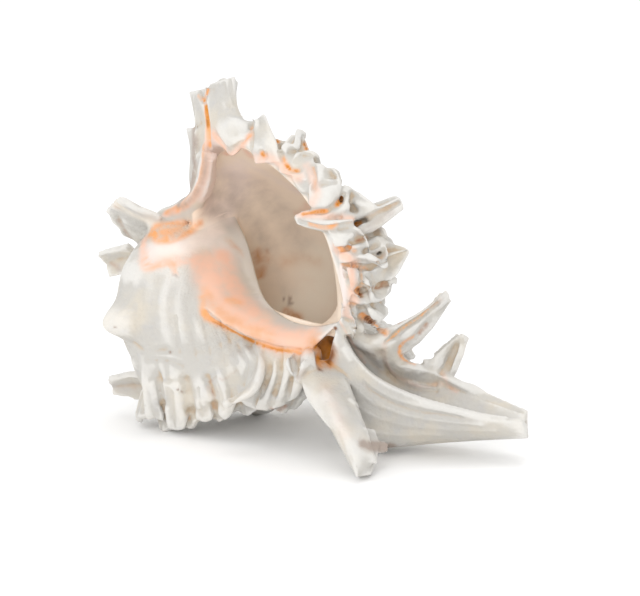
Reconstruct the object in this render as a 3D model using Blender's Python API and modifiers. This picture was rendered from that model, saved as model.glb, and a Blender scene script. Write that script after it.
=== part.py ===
"""Murex shell: an open body whorl, fluted fronds on its varices and a bent siphonal canal.

The shell grows as one tube wound round an axis, so each section is the same outline turned
and scaled. Lengths are millimetres in the shell's own axes until the mesh is placed. The
spire's tip is at the origin and the canal end lies towards -Z. The turn is 0 at the outer
lip and negative, in degrees, for what grew earlier.

Places that show in the photo are given as (x, y) in its 640 x 596 frame, with how far the
point lies in front of the lip's growth plane, or its depth towards the viewer.
"""

import math

import bmesh
import bpy
import numpy as np
from mathutils import Matrix, Vector

NAME = "murex_shell"
MM = 0.001

# Growth of the spiral
GROWTH_PER_TURN = 2.05
EARLIEST_TURN = -1400.0
FILLED_UP_TO = -232.0
PILLAR_TURNS = (-420.0, -15.0)
WALL = 3.0
LEAST_WALL = 2.3

# Half outlines at full size, as (radius, height), from the suture down to the base
WHORL = [
    (21, -36), (35, -41), (43, -47), (48, -58), (48, -72), (42, -86),
    (33, -97), (24, -105), (15, -110), (7, -113), (0.5, -115),
]
LIP = [
    (21, -36), (38, -42), (50, -50), (56, -63), (56, -79), (51, -94),
    (44, -105), (33, -112), (21, -115), (9, -116), (0.5, -117),
]
COLUMELLA = [
    (4, -115), (3, -106), (2.5, -96), (2.5, -86), (3, -76), (5, -66), (9, -57), (14, -49),
]
INSIDE = (26.0, -78.0)
NEAR_AXIS = 0.02

# Varices as (turn, degrees of swelling before it, degrees of falling after it)
VARIX_STEP = 120.0
MOUTH_VARIX = (0.0, 26.0, 4.0)
DORSAL_VARIX = (-115.0, 20.0, 7.0)
LOWER_VARIX = (-225.0, 20.0, 7.0)
SPIRE_VARIX = (-345.0, 20.0, 8.0)
SPIRE_VARICES = [(SPIRE_VARIX[0] - VARIX_STEP * n, 20.0, 8.0) for n in range(9)]
VARICES = [MOUTH_VARIX, DORSAL_VARIX, LOWER_VARIX] + SPIRE_VARICES

# Varices older than this turn show only above this part of the outline
COVERED_BEFORE = -300.0
COVERED_BELOW = 0.42
COVERED_FADE = 0.12

# Cords round the whorl, and the knobs on its shoulder as (turn, height)
CORDS = 13
CORD_HEIGHT = 0.7
BASE_CORDS_GAIN = 1.2
KNOBS = [(-60.0, 7.2), (-168.0, 7.2), (-275.0, 13.0), (-305.0, 3.0)]
KNOBS += [(-400.0 - 60.0 * n, 6.0) for n in range(14)]
KNOB_STATION = 0.36
KNOB_TURN_WIDTH = 9.0
KNOB_WIDTH = 0.09

# The photo's view of the shell
VIEW_AXIS_ANGLE = 163.8
VIEW_AXIS_AWAY = 52.4
VIEW_FACING_TURN = 301.8
VIEW_DISTANCE = 1475.0
VIEW_SCALE = 4753.0
VIEW_CENTRE = (57.3, -6.4)
PHOTO_CENTRE = (320.0, 298.0)

# How the shell lies: how steeply the photo looks down on it, and its tilt in the photo
LOOKING_DOWN = 11.7
VIEW_ROLL = -1.9

# Fronds of the outer lip: tooth, middle and tip as (x, y, forward), then widths and hollow
LIP_FRONDS = {
    "shoulder_left": (
        [(206, 184, 1), (208, 145, 0), (207, 115, -3), (205, 90, -5)], (8, 13, 14, 13), 0.3,
    ),
    "shoulder_right": (
        [(225, 150, -1), (223, 120, -4), (224, 98, -7), (229, 78, -10)], (13, 18, 15, 6), 0.2,
    ),
    "second": ([(234, 155, 2), (250, 141, -1), (257, 127, -4), (262, 112, -7)], (4, 16, 10, 1.5), 0.25),
    "third": ([(259, 165, 2), (280, 154, -1), (292, 143, -5), (301, 134, -9)], (4, 15, 11, 5), 0.25),
    "fourth": ([(288, 179, 2), (304, 171, 0), (314, 165, -3), (321, 161, -6)], (4, 13, 10, 4), 0.25),
    "fifth": ([(304, 197, 1), (320, 188, 0), (331, 181, -3), (338, 177, -7)], (5, 14, 11, 5), 0.2),
    "sixth": ([(325, 213, 0), (338, 204, -3), (348, 198, -7), (356, 193, -11)], (6, 13, 10, 5), 0.25),
    "long_upper": (
        [(297, 217, 3), (330, 228, 0), (366, 220, -9), (401, 201, -18)], (3, 8, 8, 3.5), 0.45,
    ),
    "upper_middle": (
        [(336, 246, 2), (353, 240, -2), (370, 238, -8), (389, 244, -14)], (2.5, 10, 11, 4), 0.3,
    ),
    "pointed": ([(341, 263, 2), (362, 264, -2), (384, 260, -9), (408, 249, -17)], (2.5, 10, 10, 1), 0.4),
    "lower_middle": (
        [(348, 287, 2), (362, 284, -2), (377, 282, -8), (393, 282, -13)], (2.5, 10, 11, 5), 0.3,
    ),
    "low": ([(343, 309, 2), (358, 305, -2), (370, 307, -6), (383, 311, -11)], (2.5, 9, 10, 4), 0.3),
    "long_canal": (
        [(366, 340, -6), (400, 347, -15), (424, 326, -23), (446, 296, -31)], (8, 11, 8, 4), 0.45,
    ),
    "canal_middle": (
        [(425, 372, -21), (446, 368, -26), (456, 352, -30), (464, 336, -34)], (10, 14, 9, 4), 0.4,
    ),
    "canal_last": ([(455, 389, -25), (465, 388, -27), (472, 386, -29), (479, 387, -31)], (7, 8, 6, 2), 0.4),
}
FROND_THICKNESS = 2.3

# The flange that carries the lip's fronds, as (x, y, forward)
WEB_ROOT = [
    (214, 141, -1), (240, 146, -1), (265, 159, -1), (290, 177, -1), (312, 199, -1),
    (328, 223, -1), (338, 248, -1), (345, 275, -1), (350, 300, -1), (353, 320, -2),
]
WEB_EDGE = [
    (222, 121, -5), (250, 128, -7), (276, 142, -8), (314, 160, -9), (336, 183, -11), (358, 207, -13),
    (374, 229, -15), (383, 253, -16), (383, 280, -16), (381, 306, -15), (372, 326, -13),
]

# Swellings on the lip's face between its grooves, as (x, y, forward, radius)
LIP_SWELLINGS = [
    (232, 129, -1, 5.0), (265, 142, -2, 4.2), (300, 150, -6, 4.0), (320, 173, -2, 3.6),
    (322, 197, 0, 3.8), (350, 196, -9, 3.6), (300, 218, 2, 2.0), (360, 246, -5, 3.0),
    (348, 254, 0, 2.2), (376, 276, -8, 3.4), (353, 286, -1, 2.6), (351, 305, -1, 2.6),
    (361, 332, -4, 3.4), (377, 341, -9, 2.8),
]

# The canal: its slit edge, its fold and its far edge as (x, y, forward), and how deep it is
SLIT_EDGE = [
    (337, 325, 0), (345, 337, -1), (359, 360, -3), (380, 379, -6),
    (416, 396, -11), (468, 412, -18), (494, 418, -23), (523, 420, -28),
]
CANAL_FOLD = [
    (330, 366, 0), (345, 405, 0), (364, 441, -1), (395, 442, -7),
    (430, 439, -14), (480, 436, -23), (528, 434, -29),
]
FAR_EDGE = [
    (352, 322, -3), (372, 345, -9), (392, 360, -15), (416, 366, -19),
    (437, 371, -24), (470, 388, -28), (494, 399, -31), (526, 413, -33),
]
CANAL_DEPTHS = (15, 15, 13, 10, 6)
CANAL_WALL = 2.5
CANAL_BULGE = 0.14
CANAL_UNDERSIDE = (0.12, 0.7)

# The older canal and its flap, and a small fold beside it, as (x, y, depth)
OLD_CANAL = [(309, 368, 84), (320, 390, 91), (332, 414, 98), (346, 441, 105), (361, 469, 111)]
OLD_CANAL_WIDTHS = (16, 16, 13, 10, 8)
OLD_CANAL_WALL = 2.6
OLD_CANAL_FLAP = [(352, 446, 98), (366, 448, 96), (388, 447, 93)]
SMALL_FOLD = [(318, 362, 76), (307, 371, 80), (296, 377, 83)]

# The lip on the columella: its free edge and its inner edge, as (x, y, depth)
CALLUS_EDGE = [
    (184, 222, 31), (187, 240, 41.5), (191, 262, 47), (196, 285, 51.5), (202, 308, 57),
    (225, 325, 61), (250, 338, 66), (276, 347, 72), (306, 351, 80), (334, 328, 87),
]
CALLUS_INNER = [
    (222, 194, 31), (235, 217, 32), (247, 243, 37), (257, 280, 46), (266, 301, 56),
    (282, 316, 65), (300, 324, 73), (320, 326, 81), (338, 322, 87),
]
CALLUS_THICKNESS = 11.0
CALLUS_BULGE = (0.0, 2.5, 3.0, 3.0, 2.0, 0.5)
CORNER = [(209, 168, 64), (205, 188, 57), (195, 205, 46), (177, 216, 36), (152, 223, 28)]
CORNER_WIDTHS = (5, 8, 9, 9, 6)
CORNER_THICKNESS = 5.0

# Fronds of the older varices, as (x, y, depth) from root to tip, then widths and hollow
LOWER_FRONDS = {
    "first": ([(156, 388, 36), (151, 404, 38), (147, 419, 40)], (14, 14, 10), 0.2),
    "second": ([(174, 396, 42), (175, 412, 44), (176, 427, 46)], (14, 16, 13), 0.2),
    "third": ([(195, 393, 48), (198, 408, 51), (202, 420, 53)], (13, 15, 10), 0.2),
    "fourth": ([(214, 385, 54), (222, 402, 57), (229, 416, 58)], (12, 13, 8), 0.2),
    "pointed": ([(278, 356, 66), (264, 385, 70), (225, 405, 73)], (9, 9, 1.5), 0.2),
    "fifth": ([(236, 376, 58), (247, 395, 60), (257, 410, 60)], (12, 13, 8), 0.2),
    "sixth": ([(284, 352, 68), (283, 380, 66), (278, 408, 62)], (9, 12, 7), 0.2),
    "seventh": ([(299, 352, 72), (298, 378, 68), (292, 403, 62)], (9, 12, 6), 0.2),
}
BACK_FRONDS = {
    "low_left": ([(158, 390, 26), (134, 385, 20), (110, 389, 16)], (11, 12, 9), 0.2),
    "high_left": ([(152, 228, 27), (134, 219, 28), (113, 204, 29)], (26, 21, 12), 0.08),
    "behind_left": ([(136, 257, 14), (119, 260, 10), (105, 264, 7)], (9, 8, 8), 0.25),
}

# Fronds that the photo hides, as (station on the outline, length, width at full size)
DORSAL_FRONDS = [
    (0.29, 17, 17), (0.40, 9, 12), (0.50, 13, 12), (0.60, 9, 11),
    (0.69, 13, 11), (0.78, 10, 10), (0.87, 12, 9),
]
SPIRE_FROND = (0.30, 13, 15)
SPIRE_FRONDS = 4
HIDDEN_ROOT = 3.0
HIDDEN_TAPER = (1.0, 0.8, 0.4)
HIDDEN_HOLLOW = 0.35
LEAN_BACK = 0.45

# How finely the skin is drawn before it is fused
VOXEL = 1.15
MOST_TRIANGLES = 9400


def growth(turn):
    return GROWTH_PER_TURN ** (turn / 360.0)


def view_axes():
    """The shell's x, y and z directions as columns in the view's x, y and depth."""
    angle = math.radians(VIEW_AXIS_ANGLE)
    away = math.radians(VIEW_AXIS_AWAY)
    turn = math.radians(-VIEW_FACING_TURN)
    flat = math.cos(away)
    axis = np.array([math.cos(angle) * flat, math.sin(angle) * flat, -math.sin(away)])
    near = np.array([0.0, 0.0, 1.0]) - axis[2] * axis
    near /= np.linalg.norm(near)
    side = np.cross(axis, near)
    x_way = near * math.cos(turn) + side * math.sin(turn)
    return np.stack([x_way, np.cross(axis, x_way), axis], axis=1)


VIEW = view_axes()


def sight_line(px, py):
    """The line of sight through a place in the photo: a point on it and its direction."""
    eye = np.array([VIEW_CENTRE[0], VIEW_CENTRE[1], VIEW_DISTANCE])
    offset = np.array([px - PHOTO_CENTRE[0], PHOTO_CENTRE[1] - py, 0.0]) / VIEW_SCALE
    return eye, offset - np.array([0.0, 0.0, 1.0])


def at_depth(px, py, depth):
    """The point on a line of sight at a depth towards the viewer."""
    eye, line = sight_line(px, py)
    return VIEW.T @ (eye + line * (eye[2] - depth))


def growing_way(turn):
    """The direction in which the lip was growing at a turn."""
    angle = math.radians(-turn - 90.0)
    return np.array([math.cos(angle), math.sin(angle), 0.0])


def on_lip(px, py, forward):
    """Where a line of sight meets the lip's growth plane moved forward."""
    eye, line = sight_line(px, py)
    eye = VIEW.T @ eye
    line = VIEW.T @ line
    normal = growing_way(0.0)
    return eye + line * ((forward - eye @ normal) / (line @ normal))


def placed(points, place):
    """Each (x, y, depth) given as a point by the function place."""
    return [place(*point) for point in points]


def smooth_curve(points, count):
    """Evenly spaced points on a smooth curve through the given ones."""
    points = np.asarray(points, float)
    before = 2 * points[:1] - points[1:2]
    after = 2 * points[-1:] - points[-2:-1]
    knots = np.concatenate([before, points, after])
    t = np.linspace(0.0, 1.0, 24, endpoint=False)[:, None]
    spans = []
    for a, b, c, d in zip(knots, knots[1:], knots[2:], knots[3:]):
        cubic = 3 * b - 3 * c + d - a
        square = 2 * a - 5 * b + 4 * c - d
        spans.append(b + 0.5 * t * ((c - a) + t * (square + t * cubic)))
    fine = np.concatenate(spans + [points[-1:]])
    steps = np.linalg.norm(np.diff(fine, axis=0), axis=1)
    along = np.concatenate([[0.0], np.cumsum(steps)])
    wanted = np.linspace(0.0, along[-1], count)
    return np.stack([np.interp(wanted, along, column) for column in fine.T], axis=1)


def spread(values, count):
    """Values given at even spaces, read off at more of them."""
    return np.interp(np.linspace(0, 1, count), np.linspace(0, 1, len(values)), values)


def unit(vectors):
    return vectors / np.linalg.norm(vectors, axis=-1, keepdims=True)


def bump(x, centre, width):
    return np.exp(-(((x - centre) / width) ** 2))


def outward(outline):
    """Unit directions away from the inside of an outline."""
    along = np.gradient(outline, axis=0)
    normal = unit(np.stack([-along[:, 1], along[:, 0]], axis=1))
    facing = np.sign(((outline - np.array(INSIDE)) * normal).sum(axis=1))
    return normal * facing[:, None]


def varix_flare(turn, station, varices):
    """How far a section has swollen from the plain whorl to the flared lip."""
    flare = np.zeros_like(station)
    for varix, rise, fall in varices:
        past = turn - varix
        step = 1 + past / rise if past <= 0 else 1 - past / fall
        step = min(1.0, max(0.0, step))
        swell = np.full_like(station, step * step * (3 - 2 * step))
        if varix < COVERED_BEFORE:
            swell *= np.clip((COVERED_BELOW - station) / COVERED_FADE, 0, 1)
        flare = np.maximum(flare, swell)
    return flare


def skin_relief(turn, station):
    """Cords along the whorl and the rounded knobs on its shoulder."""
    scale = growth(turn)
    strength = np.clip((station - 0.2) / 0.15, 0, 1)
    strength = strength * (1 + BASE_CORDS_GAIN * np.clip((station - 0.5) / 0.3, 0, 1))
    cords = CORD_HEIGHT * strength * (0.5 - 0.5 * np.cos(2 * math.pi * CORDS * station))
    height = sum(high * bump(turn, at, KNOB_TURN_WIDTH) for at, high in KNOBS)
    return scale**0.5 * cords + scale * height * bump(station, KNOB_STATION, KNOB_WIDTH)


def section(turn, stations):
    """The outer outline of the tube at a turn."""
    station = np.linspace(0.0, 1.0, stations)
    flare = varix_flare(turn, station, VARICES)[:, None]
    outline = smooth_curve(WHORL, stations) * (1 - flare) + smooth_curve(LIP, stations) * flare
    return outline * growth(turn) + outward(outline) * skin_relief(turn, station)[:, None]


def inner_section(turn, stations):
    """The inner outline of the tube, which flares only at the mouth."""
    flare = varix_flare(turn, np.zeros(stations), [MOUTH_VARIX])[:, None]
    outline = smooth_curve(WHORL, stations) * (1 - flare) + smooth_curve(LIP, stations) * flare
    scale = growth(turn)
    return outline * scale - outward(outline) * max(WALL * scale, LEAST_WALL)


def wound(outlines, turns):
    """Outlines, one for each turn, set round the axis."""
    rows = np.array(outlines)
    angle = np.radians(-np.asarray(turns))[:, None]
    across = rows[..., 0] * np.cos(angle)
    along = rows[..., 0] * np.sin(angle)
    return np.stack([across, along, rows[..., 1]], axis=-1)


def slab(name, front, back):
    """A closed solid between two grids of points of the same size."""
    rows, columns = front.shape[:2]
    mesh = bmesh.new()
    top = [[mesh.verts.new(point) for point in row] for row in front]
    bottom = [[mesh.verts.new(point) for point in row] for row in back]
    for i in range(rows - 1):
        for j in range(columns - 1):
            mesh.faces.new((top[i][j], top[i + 1][j], top[i + 1][j + 1], top[i][j + 1]))
            mesh.faces.new((bottom[i][j], bottom[i][j + 1], bottom[i + 1][j + 1], bottom[i + 1][j]))
    for i in range(rows - 1):
        for j in (0, columns - 1):
            mesh.faces.new((top[i][j], bottom[i][j], bottom[i + 1][j], top[i + 1][j]))
    for j in range(columns - 1):
        for i in (0, rows - 1):
            mesh.faces.new((top[i][j], top[i][j + 1], bottom[i][j + 1], bottom[i][j]))
    bmesh.ops.recalc_face_normals(mesh, faces=mesh.faces)
    data = bpy.data.meshes.new(name)
    mesh.to_mesh(data)
    mesh.free()
    return data


def thickened(name, grid, thickness):
    """A sheet of even thickness on a grid of points."""
    normal = unit(np.cross(np.gradient(grid, axis=0), np.gradient(grid, axis=1)))
    return slab(name, grid + 0.5 * thickness * normal, grid - 0.5 * thickness * normal)


def gutter(name, points, widths, hollow, thickness, facing, steps=16, columns=9):
    """A frond: a tapering sheet along a path, folded so that its groove faces one way."""
    path = smooth_curve(points, steps)
    width = spread(widths, steps)[:, None]
    along = unit(np.gradient(path, axis=0))
    side = unit(np.cross(along, np.asarray(facing, float)))
    out = np.cross(side, along)
    v = np.linspace(-1.0, 1.0, columns)
    lift = hollow * width * np.abs(v) ** 1.6
    front = path[:, None] + side[:, None] * (0.5 * width * v)[..., None] + out[:, None] * lift[..., None]
    back = front - out[:, None] * thickness + 0.35 * thickness * side[:, None] * v[None, :, None]
    return slab(name, front, back)


def early_whorls(steps=260, stations=40):
    """The spire and the older part of the last whorl, filled to the axis."""
    turns = np.linspace(EARLIEST_TURN, FILLED_UP_TO, steps)
    skin = wound([section(turn, stations) for turn in turns], turns)
    return slab("early_whorls", skin, skin * np.array([NEAR_AXIS, NEAR_AXIS, 1.0]))


def last_whorl(steps=90, stations=60):
    """The open part of the last whorl, a wall round the mouth."""
    turns = np.linspace(FILLED_UP_TO - 6.0, 0.0, steps)
    outer = wound([section(turn, stations) for turn in turns], turns)
    inner = wound([inner_section(turn, stations) for turn in turns], turns)
    return slab("last_whorl", outer, inner)


def columella(steps=90, stations=14):
    """The twisted pillar that the whorls wind round."""
    turns = np.linspace(*PILLAR_TURNS, steps)
    outline = smooth_curve(COLUMELLA, stations)
    skin = wound([outline * growth(turn) for turn in turns], turns)
    return slab("columella", skin, skin * np.array([NEAR_AXIS, NEAR_AXIS, 1.0]))


def callus(steps=26, columns=9):
    """The smooth lip spread over the columella."""
    edge = smooth_curve(placed(CALLUS_EDGE, at_depth), steps)[:, None]
    inner = smooth_curve(placed(CALLUS_INNER, at_depth), steps)[:, None]
    near = VIEW[2]
    v = np.linspace(0, 1, columns)
    bulge = spread(CALLUS_BULGE, steps)[:, None] * np.sin(math.pi * v)
    front = edge * (1 - v)[:, None] + inner * v[:, None] + near * bulge[..., None]
    return slab("callus", front, front - near * CALLUS_THICKNESS)


def corner():
    """The lip's last bend, down to the whorl before it."""
    path = placed(CORNER, at_depth)
    return gutter("corner", path, CORNER_WIDTHS, 0.1, CORNER_THICKNESS, VIEW[2])


def canal(steps=26, columns=22):
    """The siphonal canal: one sheet folded under itself, open along a slit."""
    slits = smooth_curve(placed(SLIT_EDGE, on_lip), steps)
    folds = smooth_curve(placed(CANAL_FOLD, on_lip), steps)
    fars = smooth_curve(placed(FAR_EDGE, on_lip), steps)
    up, near = VIEW[1], VIEW[2]
    raised, lowered = CANAL_UNDERSIDE
    rows = []
    for slit, fold, far, depth in zip(slits, folds, fars, spread(CANAL_DEPTHS, steps)):
        middle = 0.5 * (slit + fold) + CANAL_BULGE * depth * near
        under = fold + raised * depth * up - lowered * depth * near
        back = 0.5 * (fold + far) - depth * near
        rows.append(smooth_curve([slit, middle, fold, under, back, far], columns))
    return thickened("canal", np.array(rows), CANAL_WALL)


def old_canal():
    """The canal of the varix before, left standing beside the new one."""
    groove_way = 0.75 * VIEW[0] - 0.25 * VIEW[1] - 0.6 * VIEW[2]
    path = placed(OLD_CANAL, at_depth)
    yield gutter("old_canal", path, OLD_CANAL_WIDTHS, 0.8, OLD_CANAL_WALL, groove_way, columns=13)
    flap = placed(OLD_CANAL_FLAP, at_depth)
    yield gutter("old_canal_flap", flap, (4, 4, 3), 0.2, FROND_THICKNESS, VIEW[2])
    fold = placed(SMALL_FOLD, at_depth)
    yield gutter("small_fold", fold, (6, 7, 6), 0.9, FROND_THICKNESS, VIEW[2] - VIEW[0])


def lip_web(steps=40, columns=6):
    """The flange that carries the lip's fronds."""
    root = smooth_curve(placed(WEB_ROOT, on_lip), steps)[:, None]
    edge = smooth_curve(placed(WEB_EDGE, on_lip), steps)[:, None]
    v = np.linspace(0.0, 1.0, columns)[None, :, None]
    return thickened("lip_web", root * (1 - v) + edge * v, WALL)


def lip_swellings():
    """The rounded swellings between the lip's grooves."""
    for x, y, forward, radius in LIP_SWELLINGS:
        mesh = bmesh.new()
        centre = Matrix.Translation(Vector(on_lip(x, y, forward)))
        bmesh.ops.create_icosphere(mesh, subdivisions=2, radius=radius, matrix=centre)
        data = bpy.data.meshes.new("swelling")
        mesh.to_mesh(data)
        mesh.free()
        yield data


def lip_fronds():
    """The fronds that stand out from the outer lip and the canal."""
    facing = growing_way(0.0)
    for name, (points, widths, hollow) in LIP_FRONDS.items():
        yield gutter(name, placed(points, on_lip), widths, hollow, FROND_THICKNESS, facing)


def older_fronds():
    """The fronds of the two older varices that show at the left and below."""
    for group, varix in ((LOWER_FRONDS, LOWER_VARIX), (BACK_FRONDS, SPIRE_VARIX)):
        facing = growing_way(varix[0])
        for name, (points, widths, hollow) in group.items():
            path = placed(points, at_depth)
            yield gutter(name, path, widths, hollow, FROND_THICKNESS, facing)


def grown_frond(name, turn, station, length, width):
    """A frond that stands out from a varix and leans back from the way it grew."""
    scale = growth(turn)
    outline = smooth_curve(LIP, 101)
    index = round(station * 100)
    angle = math.radians(-turn)
    radial = np.array([math.cos(angle), math.sin(angle), 0.0])
    along_axis = np.array([0.0, 0.0, 1.0])
    across, down = outward(outline)[index]
    out = radial * across + along_axis * down
    base = (radial * outline[index, 0] + along_axis * outline[index, 1]) * scale
    back = -growing_way(turn)
    reach = length * scale
    path = [
        base - out * HIDDEN_ROOT * scale,
        base + out * reach * 0.4,
        base + (out + back * LEAN_BACK) * reach,
    ]
    widths = [width * scale * part for part in HIDDEN_TAPER]
    return gutter(name, path, widths, HIDDEN_HOLLOW, FROND_THICKNESS, -back, steps=10)


def hidden_fronds():
    """The fronds of the varix on the back and of those on the spire."""
    for station, length, width in DORSAL_FRONDS:
        yield grown_frond("dorsal", DORSAL_VARIX[0], station, length, width)
    for number in range(1, SPIRE_FRONDS + 1):
        yield grown_frond("spire", SPIRE_VARIX[0] - VARIX_STEP * number, *SPIRE_FROND)


def pieces():
    """Every closed solid that the shell is fused from."""
    yield early_whorls()
    yield last_whorl()
    yield columella()
    yield callus()
    yield corner()
    yield canal()
    yield from old_canal()
    yield lip_web()
    yield from lip_swellings()
    yield from lip_fronds()
    yield from older_fronds()
    yield from hidden_fronds()


def joined(meshes):
    """All the pieces as one mesh, in metres, not yet fused."""
    whole = bmesh.new()
    for data in meshes:
        whole.from_mesh(data)
        bpy.data.meshes.remove(data)
    bmesh.ops.scale(whole, vec=(MM, MM, MM), verts=whole.verts)
    data = bpy.data.meshes.new(NAME)
    whole.to_mesh(data)
    whole.free()
    return data


def shell_material():
    """Chalky off-white, as most of the outside is."""
    colour = (0.80, 0.76, 0.71, 1.0)
    material = bpy.data.materials.new("shell")
    material.use_nodes = True
    surface = material.node_tree.nodes["Principled BSDF"]
    surface.inputs["Base Color"].default_value = colour
    surface.inputs["Roughness"].default_value = 0.5
    material.diffuse_color = colour
    return material


def evaluated_mesh(shell):
    """The shell's mesh with its modifiers applied."""
    bpy.context.view_layer.update()
    graph = bpy.context.evaluated_depsgraph_get()
    return bpy.data.meshes.new_from_object(shell.evaluated_get(graph))


def keep_largest(data):
    """Drops every loose body but the one with the most points."""
    mesh = bmesh.new()
    mesh.from_mesh(data)
    unseen = set(mesh.verts)
    bodies = []
    while unseen:
        front = [unseen.pop()]
        body = set(front)
        while front:
            reached = {vert for edge in front.pop().link_edges for vert in edge.verts}
            new = reached & unseen
            unseen -= new
            body |= new
            front.extend(new)
        bodies.append(body)
    bodies.sort(key=len)
    for body in bodies[:-1]:
        bmesh.ops.delete(mesh, geom=list(body), context="VERTS")
    mesh.to_mesh(data)
    mesh.free()


def resting_axes():
    """Rows that turn the shell's own axes to the world's, with the photo looking along +Y."""
    roll = math.radians(VIEW_ROLL)
    down = math.radians(LOOKING_DOWN)
    flat = math.cos(down)
    up = np.array([math.sin(roll) * flat, math.cos(roll) * flat, math.sin(down)])
    right = unit(np.array([1.0, 0.0, 0.0]) - up[0] * up)
    return np.stack([right, np.cross(up, right), up]) @ VIEW


def set_down(data):
    """Lays the shell on the floor as it rests, with its middle over the origin."""
    turn = Matrix(resting_axes().tolist())
    data.transform(turn.to_4x4())
    corners = np.array([vert.co for vert in data.vertices])
    low = corners.min(axis=0)
    high = corners.max(axis=0)
    middle = (low + high) / 2
    data.transform(Matrix.Translation(Vector((-middle[0], -middle[1], -low[2]))))


def fuse(shell):
    """Fuses the pieces into one skin and thins it to facets."""
    remesh = shell.modifiers.new("Fuse", "REMESH")
    remesh.mode = "VOXEL"
    remesh.voxel_size = VOXEL * MM
    shell.data = evaluated_mesh(shell)
    shell.modifiers.clear()
    keep_largest(shell.data)
    triangles = sum(len(face.vertices) - 2 for face in shell.data.polygons)
    decimate = shell.modifiers.new("Facets", "DECIMATE")
    decimate.ratio = min(1.0, MOST_TRIANGLES / triangles)
    shell.data = evaluated_mesh(shell)
    shell.modifiers.clear()
    keep_largest(shell.data)


def main():
    for old in list(bpy.data.objects):
        bpy.data.objects.remove(old)
    collection = bpy.data.collections.new("Murex shell")
    bpy.context.scene.collection.children.link(collection)
    shell = bpy.data.objects.new(NAME, joined(pieces()))
    collection.objects.link(shell)
    fuse(shell)
    set_down(shell.data)
    shell.data.name = NAME
    shell.data.shade_smooth()
    shell.data.materials.append(shell_material())
    return shell


if __name__ == "__main__":
    main()
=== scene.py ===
"""Murex shell, dressed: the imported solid's own shape drawn finer, with its surface and colours."""

import math

import bmesh
import bpy
import numpy as np
from mathutils import Matrix, Vector
from mathutils.bvhtree import BVHTree
from mathutils.kdtree import KDTree


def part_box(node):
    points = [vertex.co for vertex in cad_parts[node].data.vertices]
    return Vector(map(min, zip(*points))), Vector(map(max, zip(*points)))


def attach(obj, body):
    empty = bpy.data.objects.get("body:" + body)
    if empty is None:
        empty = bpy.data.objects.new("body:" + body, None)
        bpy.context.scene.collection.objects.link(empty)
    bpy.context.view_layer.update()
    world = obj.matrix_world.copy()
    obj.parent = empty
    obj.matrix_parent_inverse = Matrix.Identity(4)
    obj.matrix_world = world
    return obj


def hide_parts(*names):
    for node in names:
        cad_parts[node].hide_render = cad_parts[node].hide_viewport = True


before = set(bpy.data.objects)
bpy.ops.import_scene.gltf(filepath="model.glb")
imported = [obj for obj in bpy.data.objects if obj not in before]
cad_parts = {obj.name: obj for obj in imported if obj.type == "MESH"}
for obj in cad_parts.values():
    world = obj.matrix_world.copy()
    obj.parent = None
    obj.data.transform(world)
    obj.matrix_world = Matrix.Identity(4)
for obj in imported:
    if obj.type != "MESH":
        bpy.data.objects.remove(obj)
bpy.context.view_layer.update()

NAME = "murex_shell"
MM = 0.001

# Growth of the spiral
GROWTH_PER_TURN = 2.05
EARLIEST_TURN = -1400.0
FILLED_UP_TO = -232.0
WHORL_OVERLAP = 6.0
PILLAR_TURNS = (-420.0, -15.0)
WALL = 3.0
LEAST_WALL = 2.3

# Half outlines at full size, as (radius, height), from the suture down to the base
WHORL = [
    (21, -36), (35, -41), (43, -47), (48, -58), (48, -72), (42, -86),
    (33, -97), (24, -105), (15, -110), (7, -113), (0.5, -115),
]
LIP = [
    (21, -36), (38, -42), (50, -50), (56, -63), (56, -79), (51, -94),
    (44, -105), (33, -112), (21, -115), (9, -116), (0.5, -117),
]
COLUMELLA = [
    (4, -115), (3, -106), (2.5, -96), (2.5, -86), (3, -76), (5, -66), (9, -57), (14, -49),
]

# A place inside the outlines, and how a filled part's skin shrinks towards the axis
INSIDE = (26.0, -78.0)
TO_AXIS = (0.02, 0.02, 1.0)

# Varices as (turn, degrees of swelling before it, degrees of falling after it)
VARIX_STEP = 120.0
MOUTH_VARIX = (0.0, 26.0, 4.0)
DORSAL_VARIX = (-115.0, 20.0, 7.0)
LOWER_VARIX = (-225.0, 20.0, 7.0)
SPIRE_VARIX = (-345.0, 20.0, 8.0)
SPIRE_VARIX_COUNT = 9
SPIRE_VARICES = [
    (SPIRE_VARIX[0] - VARIX_STEP * number, *SPIRE_VARIX[1:]) for number in range(SPIRE_VARIX_COUNT)
]
VARICES = [MOUTH_VARIX, DORSAL_VARIX, LOWER_VARIX] + SPIRE_VARICES

# Varices older than this turn show only above this part of the outline
COVERED_BEFORE = -300.0
COVERED_BELOW = 0.42
COVERED_FADE = 0.12

# Cords round the whorl, and the knobs on its shoulder as (turn, height)
CORDS = 13
CORD_HEIGHT = 0.7
BASE_CORDS_GAIN = 1.2
KNOBS = [(-60.0, 7.2), (-168.0, 7.2), (-275.0, 13.0), (-305.0, 3.0)]
SPIRE_KNOB = (-400.0, 6.0)
SPIRE_KNOB_COUNT = 14
KNOB_STEP = 60.0
KNOBS += [(SPIRE_KNOB[0] - KNOB_STEP * number, SPIRE_KNOB[1]) for number in range(SPIRE_KNOB_COUNT)]
KNOB_STATION = 0.36
KNOB_TURN_WIDTH = 9.0
KNOB_WIDTH = 0.09

# The photo's view of the shell
VIEW_AXIS_ANGLE = 163.8
VIEW_AXIS_AWAY = 52.4
VIEW_FACING_TURN = 301.8
VIEW_DISTANCE = 1475.0
VIEW_SCALE = 4753.0
VIEW_CENTRE = (57.3, -6.4)
PHOTO_CENTRE = (320.0, 298.0)

# How the shell lies: how steeply the photo looks down on it, and its tilt in the photo
LOOKING_DOWN = 11.7
VIEW_ROLL = -1.9

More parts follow.
